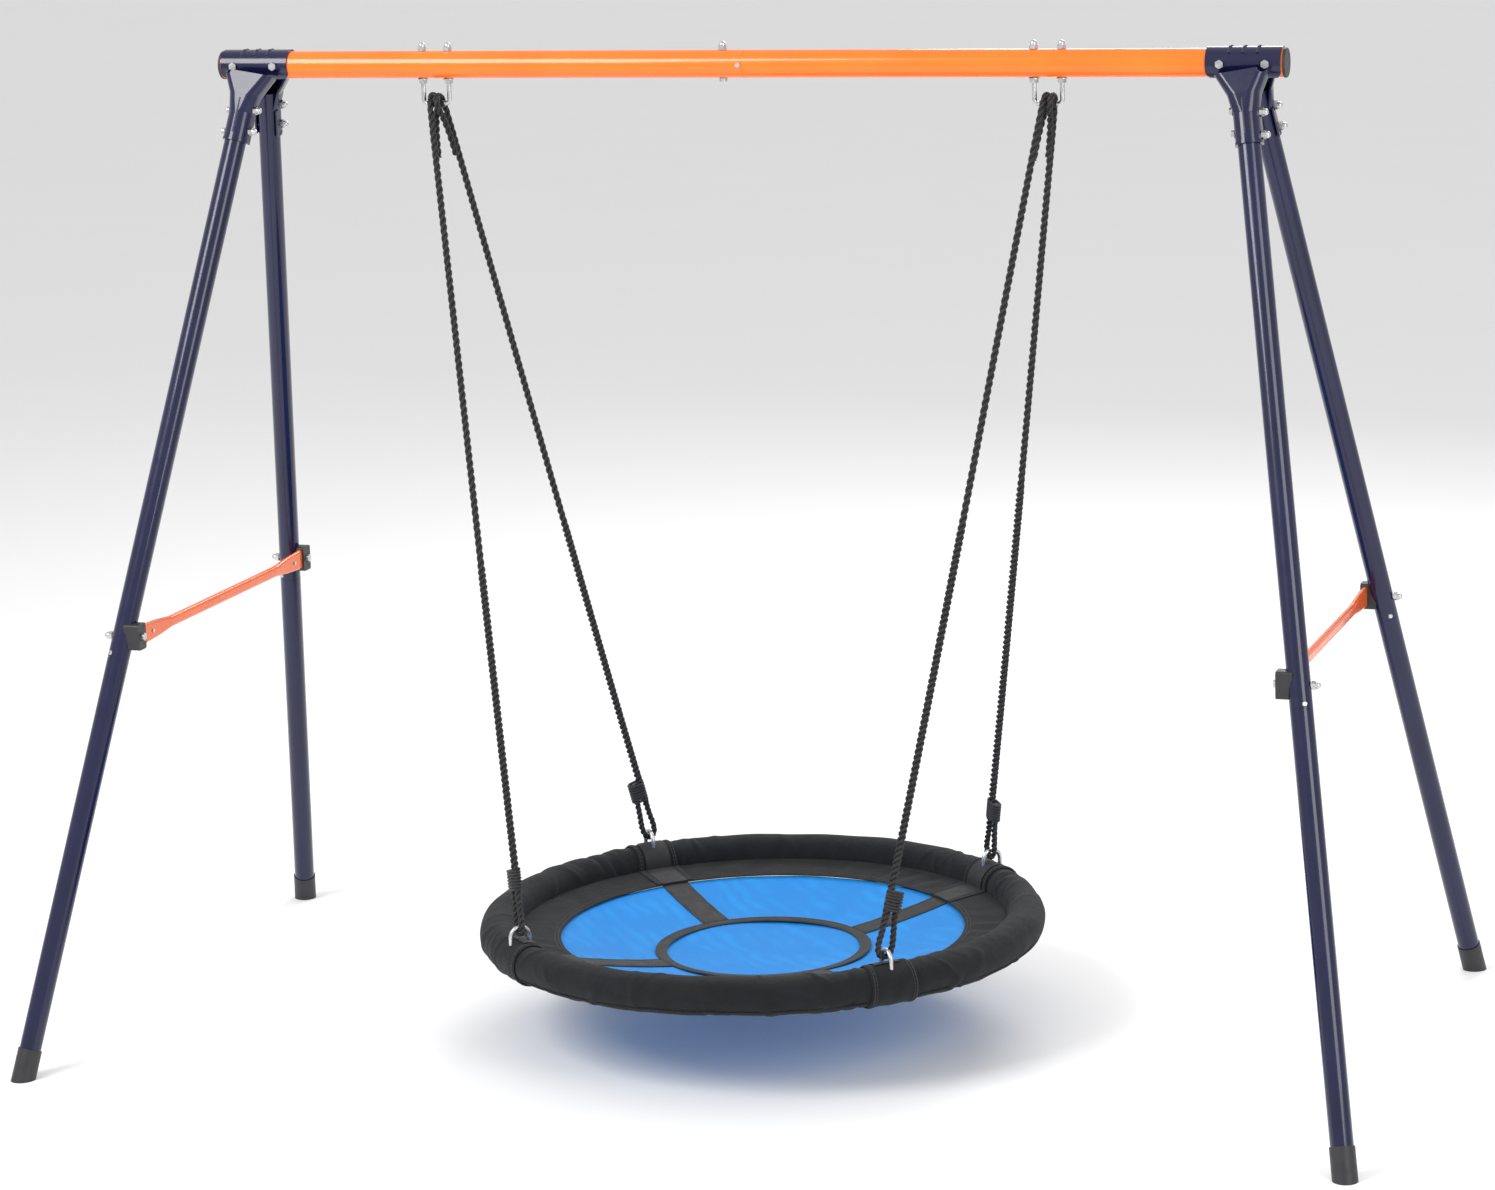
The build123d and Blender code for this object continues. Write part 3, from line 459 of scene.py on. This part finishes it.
def rope_route(side, end):
    """Control points of one rope, its line, and the loop's side vector."""
    bar, tangent = ring_frame(side, end)
    play = SNUG_PLAY
    if side > 0:
        play = OPEN_PLAY
        bar = bar - X_AXIS * OPEN_BIAS
    hang = Vector((side * HANGER_X + end * ROPE_OFFSET, 0, UBOLT_BAR_Z))
    lead = hang
    catch = bar
    for _ in range(4):
        way = (catch - lead).normalized()
        down = (way - Y_AXIS * way.y).normalized()
        lean = math.acos(max(-1.0, min(1.0, way.dot(down))))
        out = (Y_AXIS * (end * math.cos(lean)) - down * math.sin(lean)).normalized()
        e_flat = (Y_AXIS * (end * math.sin(lean)) + down * math.cos(lean)).normalized()
        lead = hang + out * EYE_R
        u = (tangent - way * tangent.dot(way)).normalized()
        u = u * (1 if u.dot(Y_AXIS) * end > 0 else -1)
        catch = bar - way * LOOP_H + u * (TAIL_GAP / 2)
    turn = PI / 2 + EYE_SPLAY
    corner_one = hang - e_flat * EYE_R + out * EYE_R
    corner_two = hang - e_flat * EYE_R - out * (EYE_R * math.tan(turn / 2))
    slope = (e_flat * math.cos(EYE_SPLAY) + out * math.sin(EYE_SPLAY)).normalized()
    touch = hang + (e_flat * math.sin(EYE_SPLAY) - out * math.cos(EYE_SPLAY)) * EYE_R
    run = (EYE_R - TAIL_GAP + EYE_R * math.cos(EYE_SPLAY)) / math.sin(EYE_SPLAY)
    join = touch + slope * run
    tail = join + way * (TAIL_LEN + TAIL_EXTRA)
    ring_r = RING_WIRE + ROPE_R + play
    spread = math.atan2(ring_r - TAIL_GAP / 2, LOOP_H)
    half_turn = (PI / 2 + spread) / 2
    low = bar + way * ring_r
    reach = ring_r * math.tan(half_turn) * LOOP_EASE
    low_one = low + u * reach
    low_two = low - u * reach
    back = bar - way * LOOP_H - u * (TAIL_GAP / 2)
    last = back - way * (WHIP_LEN - END_INSET)
    guide = corner_one + (catch - corner_one).normalized() * HOOK_RUN
    points = [tail, join, corner_two, corner_one, guide, catch, low_one, low_two, back, last]
    return points, way, u


def spline_points(name, points):
    """Points read from the smooth NURBS line with the route's points as control points."""
    curve = bpy.data.curves.new(name, "CURVE")
    curve.dimensions = "3D"
    curve.resolution_u = 48
    spline = curve.splines.new("NURBS")
    spline.points.add(len(points) - 1)
    for target, point in zip(spline.points, points):
        target.co = (*point, 1.0)
    spline.order_u = 3
    spline.use_endpoint_u = True
    holder = bpy.data.objects.new(name, curve)
    bpy.context.scene.collection.objects.link(holder)
    bpy.context.view_layer.update()
    line = bpy.data.meshes.new_from_object(holder)
    found = [v.co.copy() for v in line.vertices]
    bpy.data.objects.remove(holder)
    bpy.data.curves.remove(curve)
    bpy.data.meshes.remove(line)
    return found


def evenly(path, step):
    """The same line, with points an even step apart."""
    xyz = np.array([tuple(p) for p in path])
    along = np.concatenate([[0], np.cumsum(np.linalg.norm(np.diff(xyz, axis=0), axis=1))])
    count = max(2, round(along[-1] / step))
    want = np.linspace(0, along[-1], count + 1)
    return [Vector([float(np.interp(w, along, xyz[:, k])) for k in range(3)]) for w in want]


def smooth_step(value, low, high):
    """0 below low, 1 above high, and a smooth rise between them."""
    t = max(0.0, min(1.0, (value - low) / (high - low)))
    return t * t * (3 - 2 * t)


def twisted_rope(end_word, side_word):
    """Three strands laid round the rope's smooth line."""
    name = f"rope_{end_word}_{side_word}"
    points, _, _ = rope_route(SIDES[side_word], ENDS[end_word])
    line = evenly(spline_points(name + "_line", points), ROPE_STEP)
    axes = frames_along(line)
    total = ROPE_STEP * (len(line) - 1)
    change = LAY_CHANGE[side_word]
    surface = Surface()
    phase = 0.0
    turns = []
    sizes = []
    for i in range(len(line)):
        share = i / (len(line) - 1)
        lower = smooth_step(share, change - LAY_BLEND, change + LAY_BLEND)
        slim = 1 - smooth_step(share * total, total - SLIM_END[1], total - SLIM_END[0])
        slim *= smooth_step(share * total, *SLIM_END)
        swell = UPPER_SWELL + (LOWER_SWELL - UPPER_SWELL) * lower
        sizes.append(1 + (swell - 1) * slim)
        turns.append(phase)
        phase += 2 * PI * ROPE_STEP / (LAY_LENGTH + (LOWER_LAY - LAY_LENGTH) * lower)
    for strand in range(3):
        path = []
        for centre, (_, across, up), turn, size in zip(line, axes, turns, sizes):
            angle = turn + 2 * PI * strand / 3
            offset = across * math.cos(angle) + up * math.sin(angle)
            path.append(centre + offset * (STRAND_OFFSET * size))
        laid = []
        for centre, here, (way, _, _) in zip(line, path, axes):
            outward = (here - centre).normalized()
            laid.append((way, outward, way.cross(outward)))
        tube_along(surface, path, STRAND_R, STRAND_AROUND, axes=laid, sizes=sizes)
    rope = surface.made(name + "_twisted", f"ropes_{side_word}", "black_rope")
    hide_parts(name)
    return rope


def stadium(half_gap, radius, angle):
    """A point on a stadium outline round two parallel ropes."""
    x = half_gap if math.cos(angle) > 0 else -half_gap
    return x + radius * math.cos(angle), radius * math.sin(angle)


def rope_binding(side_word):
    """Twine wound round both runs above the lower loop of the two ropes on one side."""
    surface = Surface()
    for end in ENDS.values():
        points, way, u = rope_route(SIDES[side_word], end)
        foot = (points[CATCH] + points[BACK]) * 0.5 - way * (BINDING_GAP + TWINE_R)
        across = u.cross(-way).normalized()
        path = []
        count = TWINE_TURNS * TURN_STEPS
        for i in range(count + 1):
            x, y = stadium(TAIL_GAP / 2, ROPE_R + TWINE_R * 0.72, 2 * PI * i / TURN_STEPS)
            rise = (WHIP_LEN - 2 * TWINE_R) * i / count
            path.append(foot + u * x + across * y - way * rise)
        tube_along(surface, evenly(path, 0.0022), TWINE_R, 8, flat=0.9)
    binding = surface.made(f"rope_binding_{side_word}", f"ropes_{side_word}", "black_rope")
    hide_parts(f"rope_whippings_{side_word}")


def pivot_roll(side_word):
    """Twine bound round the bar of the U-bolt, where the two rope eyes turn."""
    x = SIDES[side_word] * HANGER_X
    rows = []
    rings = 58
    around = 36
    for i in range(rings + 1):
        along = SLEEVE_LEN * i / rings
        row = []
        for j in range(around):
            angle = 2 * PI * j / around
            groove = abs(math.sin(PI * along / ROLL_PITCH + angle / 2))
            radius = ROLL_R + ROLL_RELIEF * math.sqrt(groove)
            row.append(Vector((x - SLEEVE_LEN / 2 + along, radius * math.cos(angle),
                               UBOLT_BAR_Z + radius * math.sin(angle))))
        rows.append(row)
    bore = SLEEVE_BORE / SLEEVE_R
    inner = [[Vector((p.x, p.y * bore, UBOLT_BAR_Z + (p.z - UBOLT_BAR_Z) * bore)) for p in row]
             for row in (rows[-1], rows[0])]
    surface = Surface()
    surface.grid(rows + inner, steps(0, 2 * PI * SLEEVE_R, around),
                 steps(0, SLEEVE_LEN * 2.4, rings + 3), wrap_rows=True, wrap_columns=True)
    roll = surface.made(f"pivot_roll_{side_word}", f"sleeve_{side_word}", "black_rope")
    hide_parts(f"pivot_sleeve_{side_word}")


# ---- saucer seat -------------------------------------------------------------------------
SEAM_TURN = math.radians(-38)        # the cover's sewn seam, low on the rim's outer side
BAND_SEAM_TURN = math.radians(203)   # where the inner band leaves the rim


def on_ring(radius, angle, z):
    """A point at this radius, angle and height about the seat's middle."""
    return Vector((radius * math.cos(angle), radius * math.sin(angle), z))


def dish(radius):
    """Height of the mat's upper face before the cloth sags between the straps."""
    return DISH_Z - math.sqrt(DISH_R ** 2 - radius ** 2)


def spoke_axes(end, side):
    """Unit vectors along and across the spoke at one corner of the seat."""
    radial = on_ring(1, math.atan2(end, side), 0)
    return radial, Vector((-radial.y, radial.x, 0))


def between_straps(angle):
    """0 along a strap, 1 midway between two straps."""
    return (1 + math.cos(4 * angle)) / 2


class Creases:
    """A seeded set of soft folds across the padded rim, denser beside the patches."""

    def __init__(self, seed, count):
        draw = random.Random(seed)
        self.folds = []
        for _ in range(count):
            corner = draw.randrange(4)
            near = draw.random() < 0.55
            offset = draw.choice((-1, 1)) * (0.125 + draw.random() * 0.17) if near \
                else draw.uniform(-PI / 4, PI / 4)
            self.folds.append({
                "at": PI / 4 + corner * PI / 2 + offset,
                "slant": draw.uniform(-0.055, 0.055),
                "middle": draw.uniform(0, 2 * PI),
                "reach": draw.uniform(0.5, 1.25),
                "width": draw.uniform(0.008, 0.022),
                "depth": draw.uniform(0.0008, 0.0030) * draw.choice((-1, 1, 1)),
            })

    def height(self, angle, turn):
        """All the folds together, at this angle round the seat and turn round the rim's tube."""
        total = 0.0
        for fold in self.folds:
            along = (turn - fold["middle"] + PI) % (2 * PI) - PI
            line = fold["at"] + fold["slant"] * along
            off = (angle - line + PI) % (2 * PI) - PI
            if abs(off) < 3.2 * fold["width"] and abs(along) < 2.6 * fold["reach"]:
                total += fold["depth"] * math.exp(-(off / fold["width"]) ** 2
                                                  - (along / fold["reach"]) ** 2)
        return total


RIM_CREASES = Creases(11, 170)


def cover_radius(angle, turn):
    """Section radius of the padded cover: full and tight, with folds and a sewn seam."""
    lumps = 0.0008 * math.sin(9 * angle + 2 * math.sin(turn)) + 0.0006 * math.sin(23 * angle + turn)
    seam = (turn - SEAM_TURN + PI) % (2 * PI) - PI
    groove = -0.0017 * math.exp(-(seam / 0.045) ** 2)
    pucker = 0.0006 * math.cos(angle * 230) * math.exp(-(seam / 0.28) ** 2)
    under_patch = angle % (PI / 2) - PI / 4
    calm = smooth_step(abs(under_patch), 0.085, 0.135)
    folds = RIM_CREASES.height(angle, turn)
    return COVER_R - 0.0008 + calm * (lumps + groove + pucker + folds) - (1 - calm) * 0.0006


def rim_point(radius, angle, turn):
    """A point on the rim's tube, at this radius of its section."""
    out = RIM_R + radius * math.cos(turn)
    return on_ring(out, angle, SEAT_Z + radius * math.sin(turn))


def padded_rim():
    """Padded fabric tube over the hoop and its foam."""
    rings = 720
    around = 56
    rows = []
    for i in range(rings):
        angle = 2 * PI * i / rings
        rows.append([rim_point(cover_radius(angle, 2 * PI * j / around), angle, 2 * PI * j / around)
                     for j in range(around)])
    surface = Surface()
    surface.grid(rows, steps(0, 2 * PI * COVER_R, around), steps(0, 2 * PI * RIM_R, rings),
                 wrap_rows=True, wrap_columns=True, flip=True)
    cover = surface.made("rim_padding", "seat", "charcoal_fabric", crease=60)
    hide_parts("rim_cover", "rim_foam")


def round_lengths(ring):
    """Distances along a closed ring of points, from its first point back to it."""
    found = [0.0]
    for j in range(len(ring)):
        found.append(found[-1] + (ring[(j + 1) % len(ring)] - ring[j]).length)
    return found


def band_round(name, profile, slot, rings):
    """A band with the given section, profile(angle) -> closed list of (radius, z), swept round."""
    angles = [2 * PI * i / rings for i in range(rings)]
    rows = [[on_ring(r, angle, z) for r, z in profile(angle)] for angle in angles]
    surface = Surface()
    surface.grid(rows, round_lengths(rows[0]), steps(0, 2 * PI * rows[0][0].xy.length, rings),
                 wrap_rows=True, wrap_columns=True)
    return surface.made(name, "seat", slot)


def close_strip(surface, ring, flip=False):
    """Closes the end of a thin strip: the two halves of its outline face each other."""
    half = len(ring) // 2
    base = len(surface.points)
    surface.points.extend(ring)
    for j in range(half - 1):
        face = [base + j, base + j + 1, base + len(ring) - 2 - j, base + len(ring) - 1 - j]
        if flip:
            face.reverse()
        surface.faces.append(face)
        surface.uvs.extend([(0.0, 0.0), (0.001, 0.0), (0.001, 0.001), (0.0, 0.001)])


def strip(rows, width, flip=False):
    """A thin strip between its two edge rows, with both edges closed."""
    surface = Surface()
    surface.grid(rows, round_lengths(rows[0]), steps(0, width, len(rows) - 1), wrap_columns=True,
                 flip=flip)
    close_strip(surface, rows[0], flip=not flip)
    close_strip(surface, rows[-1], flip=flip)
    return surface


def thin_section(line, thickness):
    """Closed outline round a line of (radius, z) points, thickness below it."""
    lower = []
    for k, (r, z) in enumerate(line):
        before = line[max(k - 1, 0)]
        after = line[min(k + 1, len(line) - 1)]
        dr, dz = after[0] - before[0], after[1] - before[1]
        size = math.hypot(dr, dz)
        lower.append((r + dz / size * thickness, z - dr / size * thickness))
    return line + lower[::-1]


def rim_band():
    """Fabric band between the padded rim and the mat, gathered a little by its seams."""
    def profile(angle):
        line = []
        for share in steps(0, 1, 12):
            r = FLANGE_R + (SKIRT_OUT - FLANGE_R) * share
            wave = math.sin(41 * angle + 3 * math.sin(5 * angle) + 4 * share)
            ripple = 0.0016 * wave * (0.5 + 0.5 * math.sin(7 * angle)) * math.sin(PI * share)
            sag = -0.0012 * math.sin(PI * share) * between_straps(angle)
            line.append((r, SKIRT_Z + (r - FLANGE_R) * SKIRT_SLOPE + SKIRT_T + ripple + sag))
        return thin_section(line, SKIRT_T)

    band = band_round("rim_inner_band", profile, "charcoal_fabric", 540)
    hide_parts("rim_skirt")


PATCH_HALF = math.radians(5.9)
PATCH_T = 0.0015
PATCH_LIFT = 0.0016        # how far a patch stands off the rim's cover
STRIP_LIFT = 0.0022        # how far the strip on a patch stands off it
PATCH_WAIST = 0.16         # share of its width that a patch loses in the middle


def patch_line():
    """Section of a patch: along the band, then over the padded rim to its underside."""
    line = []
    for share in steps(0, 1, 9):
        r = FLANGE_R + 0.003 + (0.4335 - FLANGE_R - 0.003) * share
        line.append((r, SKIRT_Z + (r - FLANGE_R) * SKIRT_SLOPE + SKIRT_T + CLEAR + PATCH_T))
    radius = COVER_R + PATCH_LIFT
    for degrees in steps(188, -148, 48):
        turn = math.radians(degrees)
        line.append((RIM_R + radius * math.cos(turn), SEAT_Z + radius * math.sin(turn)))
    return line


def patch_width(order, line):
    """Width of a patch at one point of its section line, 1 at both ends."""
    return 1 - PATCH_WAIST * math.sin(PI * order / (len(line) - 1))


def off_rim(r, z, lift):
    """A section point (radius, z) moved straight away from the middle of the rim's tube."""
    out_r, out_z = r - RIM_R, z - SEAT_Z
    grown = 1 + lift / math.hypot(out_r, out_z)
    return RIM_R + out_r * grown, SEAT_Z + out_z * grown


def rim_patch(end_word, side_word):
    """Wide strip of fabric round the rim at one rope ring, with curved sewn edges."""
    middle = math.atan2(ENDS[end_word], SIDES[side_word])
    line = patch_line()
    section = thin_section(line, PATCH_T)
    across = 40
    rows = []
    for i in range(across + 1):
        share = 2 * i / across - 1
        row = []
        for k, (r, z) in enumerate(section):
            order = k if k < len(line) else 2 * len(line) - 1 - k
            edge = smooth_step(1 - abs(share), 0.0, 0.07)
            lift = 0.0005 * math.sin(7 * share + 0.3 * order) * edge - 0.0004 * (1 - edge)
            hump = 0.0012 * math.exp(-((abs(share) - 0.90) / 0.05) ** 2)
            place_r, place_z = off_rim(r, z, (lift + hump) * (1 if order > 10 else 0.4))
            angle = middle + PATCH_HALF * patch_width(order, line) * share
            row.append(on_ring(place_r, angle, place_z))
        rows.append(row)
    surface = strip(rows, 2 * PATCH_HALF * RIM_R)
    patch = surface.made(f"rim_patch_{end_word}_{side_word}", "seat", "charcoal_fabric")
    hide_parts("rim_patches")
    return line, middle


def mat_height(radius, angle):
    """Upper face of the mesh mat: the dish, a little lower between the straps."""
    share = radius / MAT_R
    sag = 0.0032 * between_straps(angle) * math.sin(PI * min(1.0, share)) ** 2
    tight = 0.00025 * math.sin(18 * angle) * smooth_step(share, 0.75, 0.9)
    return dish(radius) - sag - tight * between_straps(angle)


def mesh_mat():
    """Round mat of blue mesh cloth, sagging in a shallow dish."""
    around = 288
    radii = steps(0.004, MAT_R, 60)
    surface = Surface()
    rows = [[on_ring(r, 2 * PI * j / around, mat_height(r, 2 * PI * j / around))
             for j in range(around)] for r in radii]
    under = [[p - Z_AXIS * MAT_T for p in row] for row in reversed(rows)]
    surface.grid(rows + under, steps(0, 1, around), steps(0, 1, len(rows) * 2), wrap_columns=True,
                 flip=True)
    surface.fan(rows[0], on_ring(0, 0, mat_height(0, 0)))
    surface.fan(under[-1], on_ring(0, 0, mat_height(0, 0) - MAT_T), flip=True)
    surface.uvs = [(surface.points[k].x, surface.points[k].y) for face in surface.faces for k in face]
    mat = surface.made("mesh_mat", "seat", "blue_mesh")
    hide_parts("seat_mat")


def centre_binding():
    """Sewn webbing ring in the middle of the mat."""
    def profile(angle):
        line = []
        for share in steps(0, 1, 8):
            r = CENTRE_RING[0] + (CENTRE_RING[1] - CENTRE_RING[0]) * share
            crown = 0.0006 * math.sin(PI * share)
            line.append((r, dish(r) + CLEAR + TRIM_T + crown + 0.0002 * math.sin(90 * angle)))
        return thin_section(line, TRIM_T)

    ring = band_round("centre_binding", profile, "black_webbing", 360)
    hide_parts("seat_centre_ring")


def strap_line():
    """Radii along a spoke, from the centre ring to the mat's edge."""
    return steps(CENTRE_RING[1] + 0.0004, MAT_R - 0.001, 24)


def seat_strap(end_word, side_word):
    """Webbing spoke from the centre ring to the rim."""
    radial, across = spoke_axes(ENDS[end_word], SIDES[side_word])
    rows = []
    line = strap_line()
    for w in steps(-1, 1, 12):
        top = []
        for r in line:
            crown = 0.0005 * (1 - w * w) + 0.0003 * math.sin(r * 130)
            place = radial * r + across * (w * STRAP_W / 2)
            height = dish(min(place.xy.length, MAT_R)) + CLEAR + TRIM_T + crown
            top.append(Vector((place.x, place.y, height)))
        rows.append(top + [p - Z_AXIS * TRIM_T for p in reversed(top)])
    surface = strip(rows, STRAP_W, flip=True)
    strap = surface.made(f"mat_strap_{end_word}_{side_word}", "seat", "black_webbing")
    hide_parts("seat_straps")


def rim_strap(end_word, side_word):
    """Webbing strip that carries a spoke over the band and up to the rope ring."""
    middle = math.atan2(ENDS[end_word], SIDES[side_word])
    line = [off_rim(r, z, STRIP_LIFT) for r, z in patch_line()[:26]]
    section = thin_section(line, TRIM_T * 0.7)
    rows = []
    for w in steps(-1, 1, 12):
        crown = 0.0004 * (1 - w * w)
        rows.append([on_ring(r, middle + w * STRAP_W / 2 / r, z + crown) for r, z in section])
    strap = strip(rows, STRAP_W).made(f"rim_strap_{end_word}_{side_word}", "seat", "black_webbing")


# ---- sewing -----------------------------------------------------------------------------
STITCH_LEN = 0.0046
STITCH_GAP = 0.0022
STITCH_R = 0.00055
STITCH_LIFT = 0.0011       # stitches on a patch stand this far off its section line


def stitch_row(surface, line):
    """Short raised stitches along a line of points."""
    line = evenly(line, STITCH_LEN + STITCH_GAP)
    for first, second in zip(line, line[1:]):
        way = second - first
        end = first + way * (STITCH_LEN / (STITCH_LEN + STITCH_GAP))
        path = [first, first.lerp(end, 0.2), first.lerp(end, 0.5), first.lerp(end, 0.8), end]
        lifted = [p + Z_AXIS * (STITCH_R * h) for p, h in zip(path, (-0.6, 0.5, 0.8, 0.5, -0.6))]
        tube_along(surface, lifted, STITCH_R, 6)


def mat_stitching():
    """Seams that hold the centre ring, the straps and the band to the mat."""
    surface = Surface()
    lift = CLEAR + TRIM_T + 0.0004
    for radius in (CENTRE_RING[0] + 0.0035, CENTRE_RING[1] - 0.0035):
        stitch_row(surface, [on_ring(radius, 2 * PI * i / 240, dish(radius) + lift)
                             for i in range(241)])
    for end in ENDS.values():
        for side in SIDES.values():
            radial, across = spoke_axes(end, side)
            for offset in (-1, 1):
                line = []
                for r in strap_line():
                    place = radial * r + across * (offset * (STRAP_W / 2 - 0.005))
                    height = dish(place.xy.length) + lift
                    line.append(Vector((place.x, place.y, height)))
                stitch_row(surface, line)
    for radius in (FLANGE_R + 0.005, FLANGE_R + 0.011):
        height = SKIRT_Z + (radius - FLANGE_R) * SKIRT_SLOPE + SKIRT_T
        stitch_row(surface, [on_ring(radius, 2 * PI * i / 360, height) for i in range(361)])
    surface.made("mat_stitching", "seat", "black_webbing", THREAD)


def patch_stitching(patches):
    """Double seam down both edges of every rim patch."""
    surface = Surface()
    for line, middle in patches:
        for side in (-1, 1):
            for inset in (0.90, 0.80):
                path = []
                for order, (r, z) in enumerate(line):
                    place_r, place_z = off_rim(r, z, STITCH_LIFT)
                    angle = middle + side * inset * PATCH_HALF * patch_width(order, line)
                    path.append(on_ring(place_r, angle, place_z))
                stitch_row(surface, path)
    surface.made("patch_stitching", "seat", "charcoal_fabric", THREAD)


def rim_piping():
    """Sewn welt where the band leaves the padded rim, and along the rim's outer seam."""
    surface = Surface()
    for turn, size in ((BAND_SEAM_TURN, 0.0022), (SEAM_TURN, 0.0013)):
        path = [rim_point(COVER_R - 0.0006, 2 * PI * i / 480, turn) for i in range(480)]
        axes = frames_along(path, closed=True)
        rows = []
        for centre, (way, _, _) in zip(path, axes):
            out = (centre - on_ring(RIM_R, math.atan2(centre.y, centre.x), SEAT_Z)).normalized()
            up = way.cross(out)
            rows.append([centre + out * (size * math.cos(PI * j / 5)) + up * (size * math.sin(PI * j / 5))
                         for j in range(10)])
        surface.grid(rows, steps(0, 2 * PI * size, 10), steps(0, 2 * PI * RIM_R, 480),
                     wrap_rows=True, wrap_columns=True)
    surface.made("rim_piping", "seat", "charcoal_fabric")


# ---- camera, light and floor ----------------------------------------------------------------
CAMERA_PLACE = (2.507, -7.328, 2.381)
CAMERA_YAW = 18.91         # degrees to the left of straight ahead
CAMERA_PITCH = -11.84
CAMERA_ROLL = -1.87
LENS = 109.3
SHIFT = (-0.002, 0.0074)
WORLD_STRENGTH = 0.76
FLOOR_REACH = 45.0


def add_camera():
    data = bpy.data.cameras.new("camera")
    data.lens = LENS
    data.sensor_width = 36
    data.shift_x, data.shift_y = SHIFT
    camera = bpy.data.objects.new("camera", data)
    bpy.context.scene.collection.objects.link(camera)
    turn = Matrix.Rotation(math.radians(CAMERA_YAW), 4, "Z")
    turn = turn @ Matrix.Rotation(math.radians(90 + CAMERA_PITCH), 4, "X")
    turn = turn @ Matrix.Rotation(math.radians(CAMERA_ROLL), 4, "Z")
    camera.matrix_world = Matrix.Translation(CAMERA_PLACE) @ turn
    bpy.context.scene.camera = camera


def add_light(name, place, target, size, power):
    data = bpy.data.lights.new(name, "AREA")
    data.shape = "RECTANGLE"
    data.size, data.size_y = size
    data.energy = power
    light = bpy.data.objects.new(name, data)
    light.location = place
    light.rotation_euler = (Vector(target) - Vector(place)).to_track_quat("-Z", "Y").to_euler()
    bpy.context.scene.collection.objects.link(light)


def add_studio():
    """Pale floor, even world light, and three area lights: key, fill and back."""
    mesh = bpy.data.meshes.new("floor")
    corners = [(x * FLOOR_REACH, y * FLOOR_REACH, 0) for x, y in ((-1, -1), (1, -1), (1, 1), (-1, 1))]
    mesh.from_pydata(corners, [], [(0, 1, 2, 3)])
    floor = bpy.data.objects.new("floor", mesh)
    f = Finish("floor")
    f.colour(f.blend_colours(f.noise(1.5), (0.93, 0.93, 0.93), (0.91, 0.91, 0.91)))
    f.set(Roughness=0.85)
    mesh.materials.append(f.material)
    bpy.context.scene.collection.objects.link(floor)
    world = bpy.data.worlds.new("studio")
    world.use_nodes = True
    world.node_tree.nodes["Background"].inputs["Color"].default_value = (1, 1, 1, 1)
    world.node_tree.nodes["Background"].inputs["Strength"].default_value = WORLD_STRENGTH
    bpy.context.scene.world = world
    bpy.context.scene.view_settings.view_transform = "Standard"
    add_light("key", (-2.6, -3.6, 4.2), (0, 0, 0.8), (2.4, 2.4), 190)
    add_light("fill", (3.8, -2.6, 2.6), (0, 0, 0.8), (2.0, 2.6), 75)
    add_light("back", (0.5, 4.2, 3.6), (0, 0, 0.9), (3.2, 1.2), 95)


paint_cad_nodes()
add_camera()
add_studio()
for end_word in ENDS:
    for side_word in SIDES:
        twisted_rope(end_word, side_word)
for side_word in SIDES:
    rope_binding(side_word)
    pivot_roll(side_word)
mesh_mat()
rim_band()
padded_rim()
centre_binding()
patch_lines = []
for end_word in ENDS:
    for side_word in SIDES:
        patch_lines.append(rim_patch(end_word, side_word))
        seat_strap(end_word, side_word)
        rim_strap(end_word, side_word)
mat_stitching()
patch_stitching(patch_lines)
rim_piping()
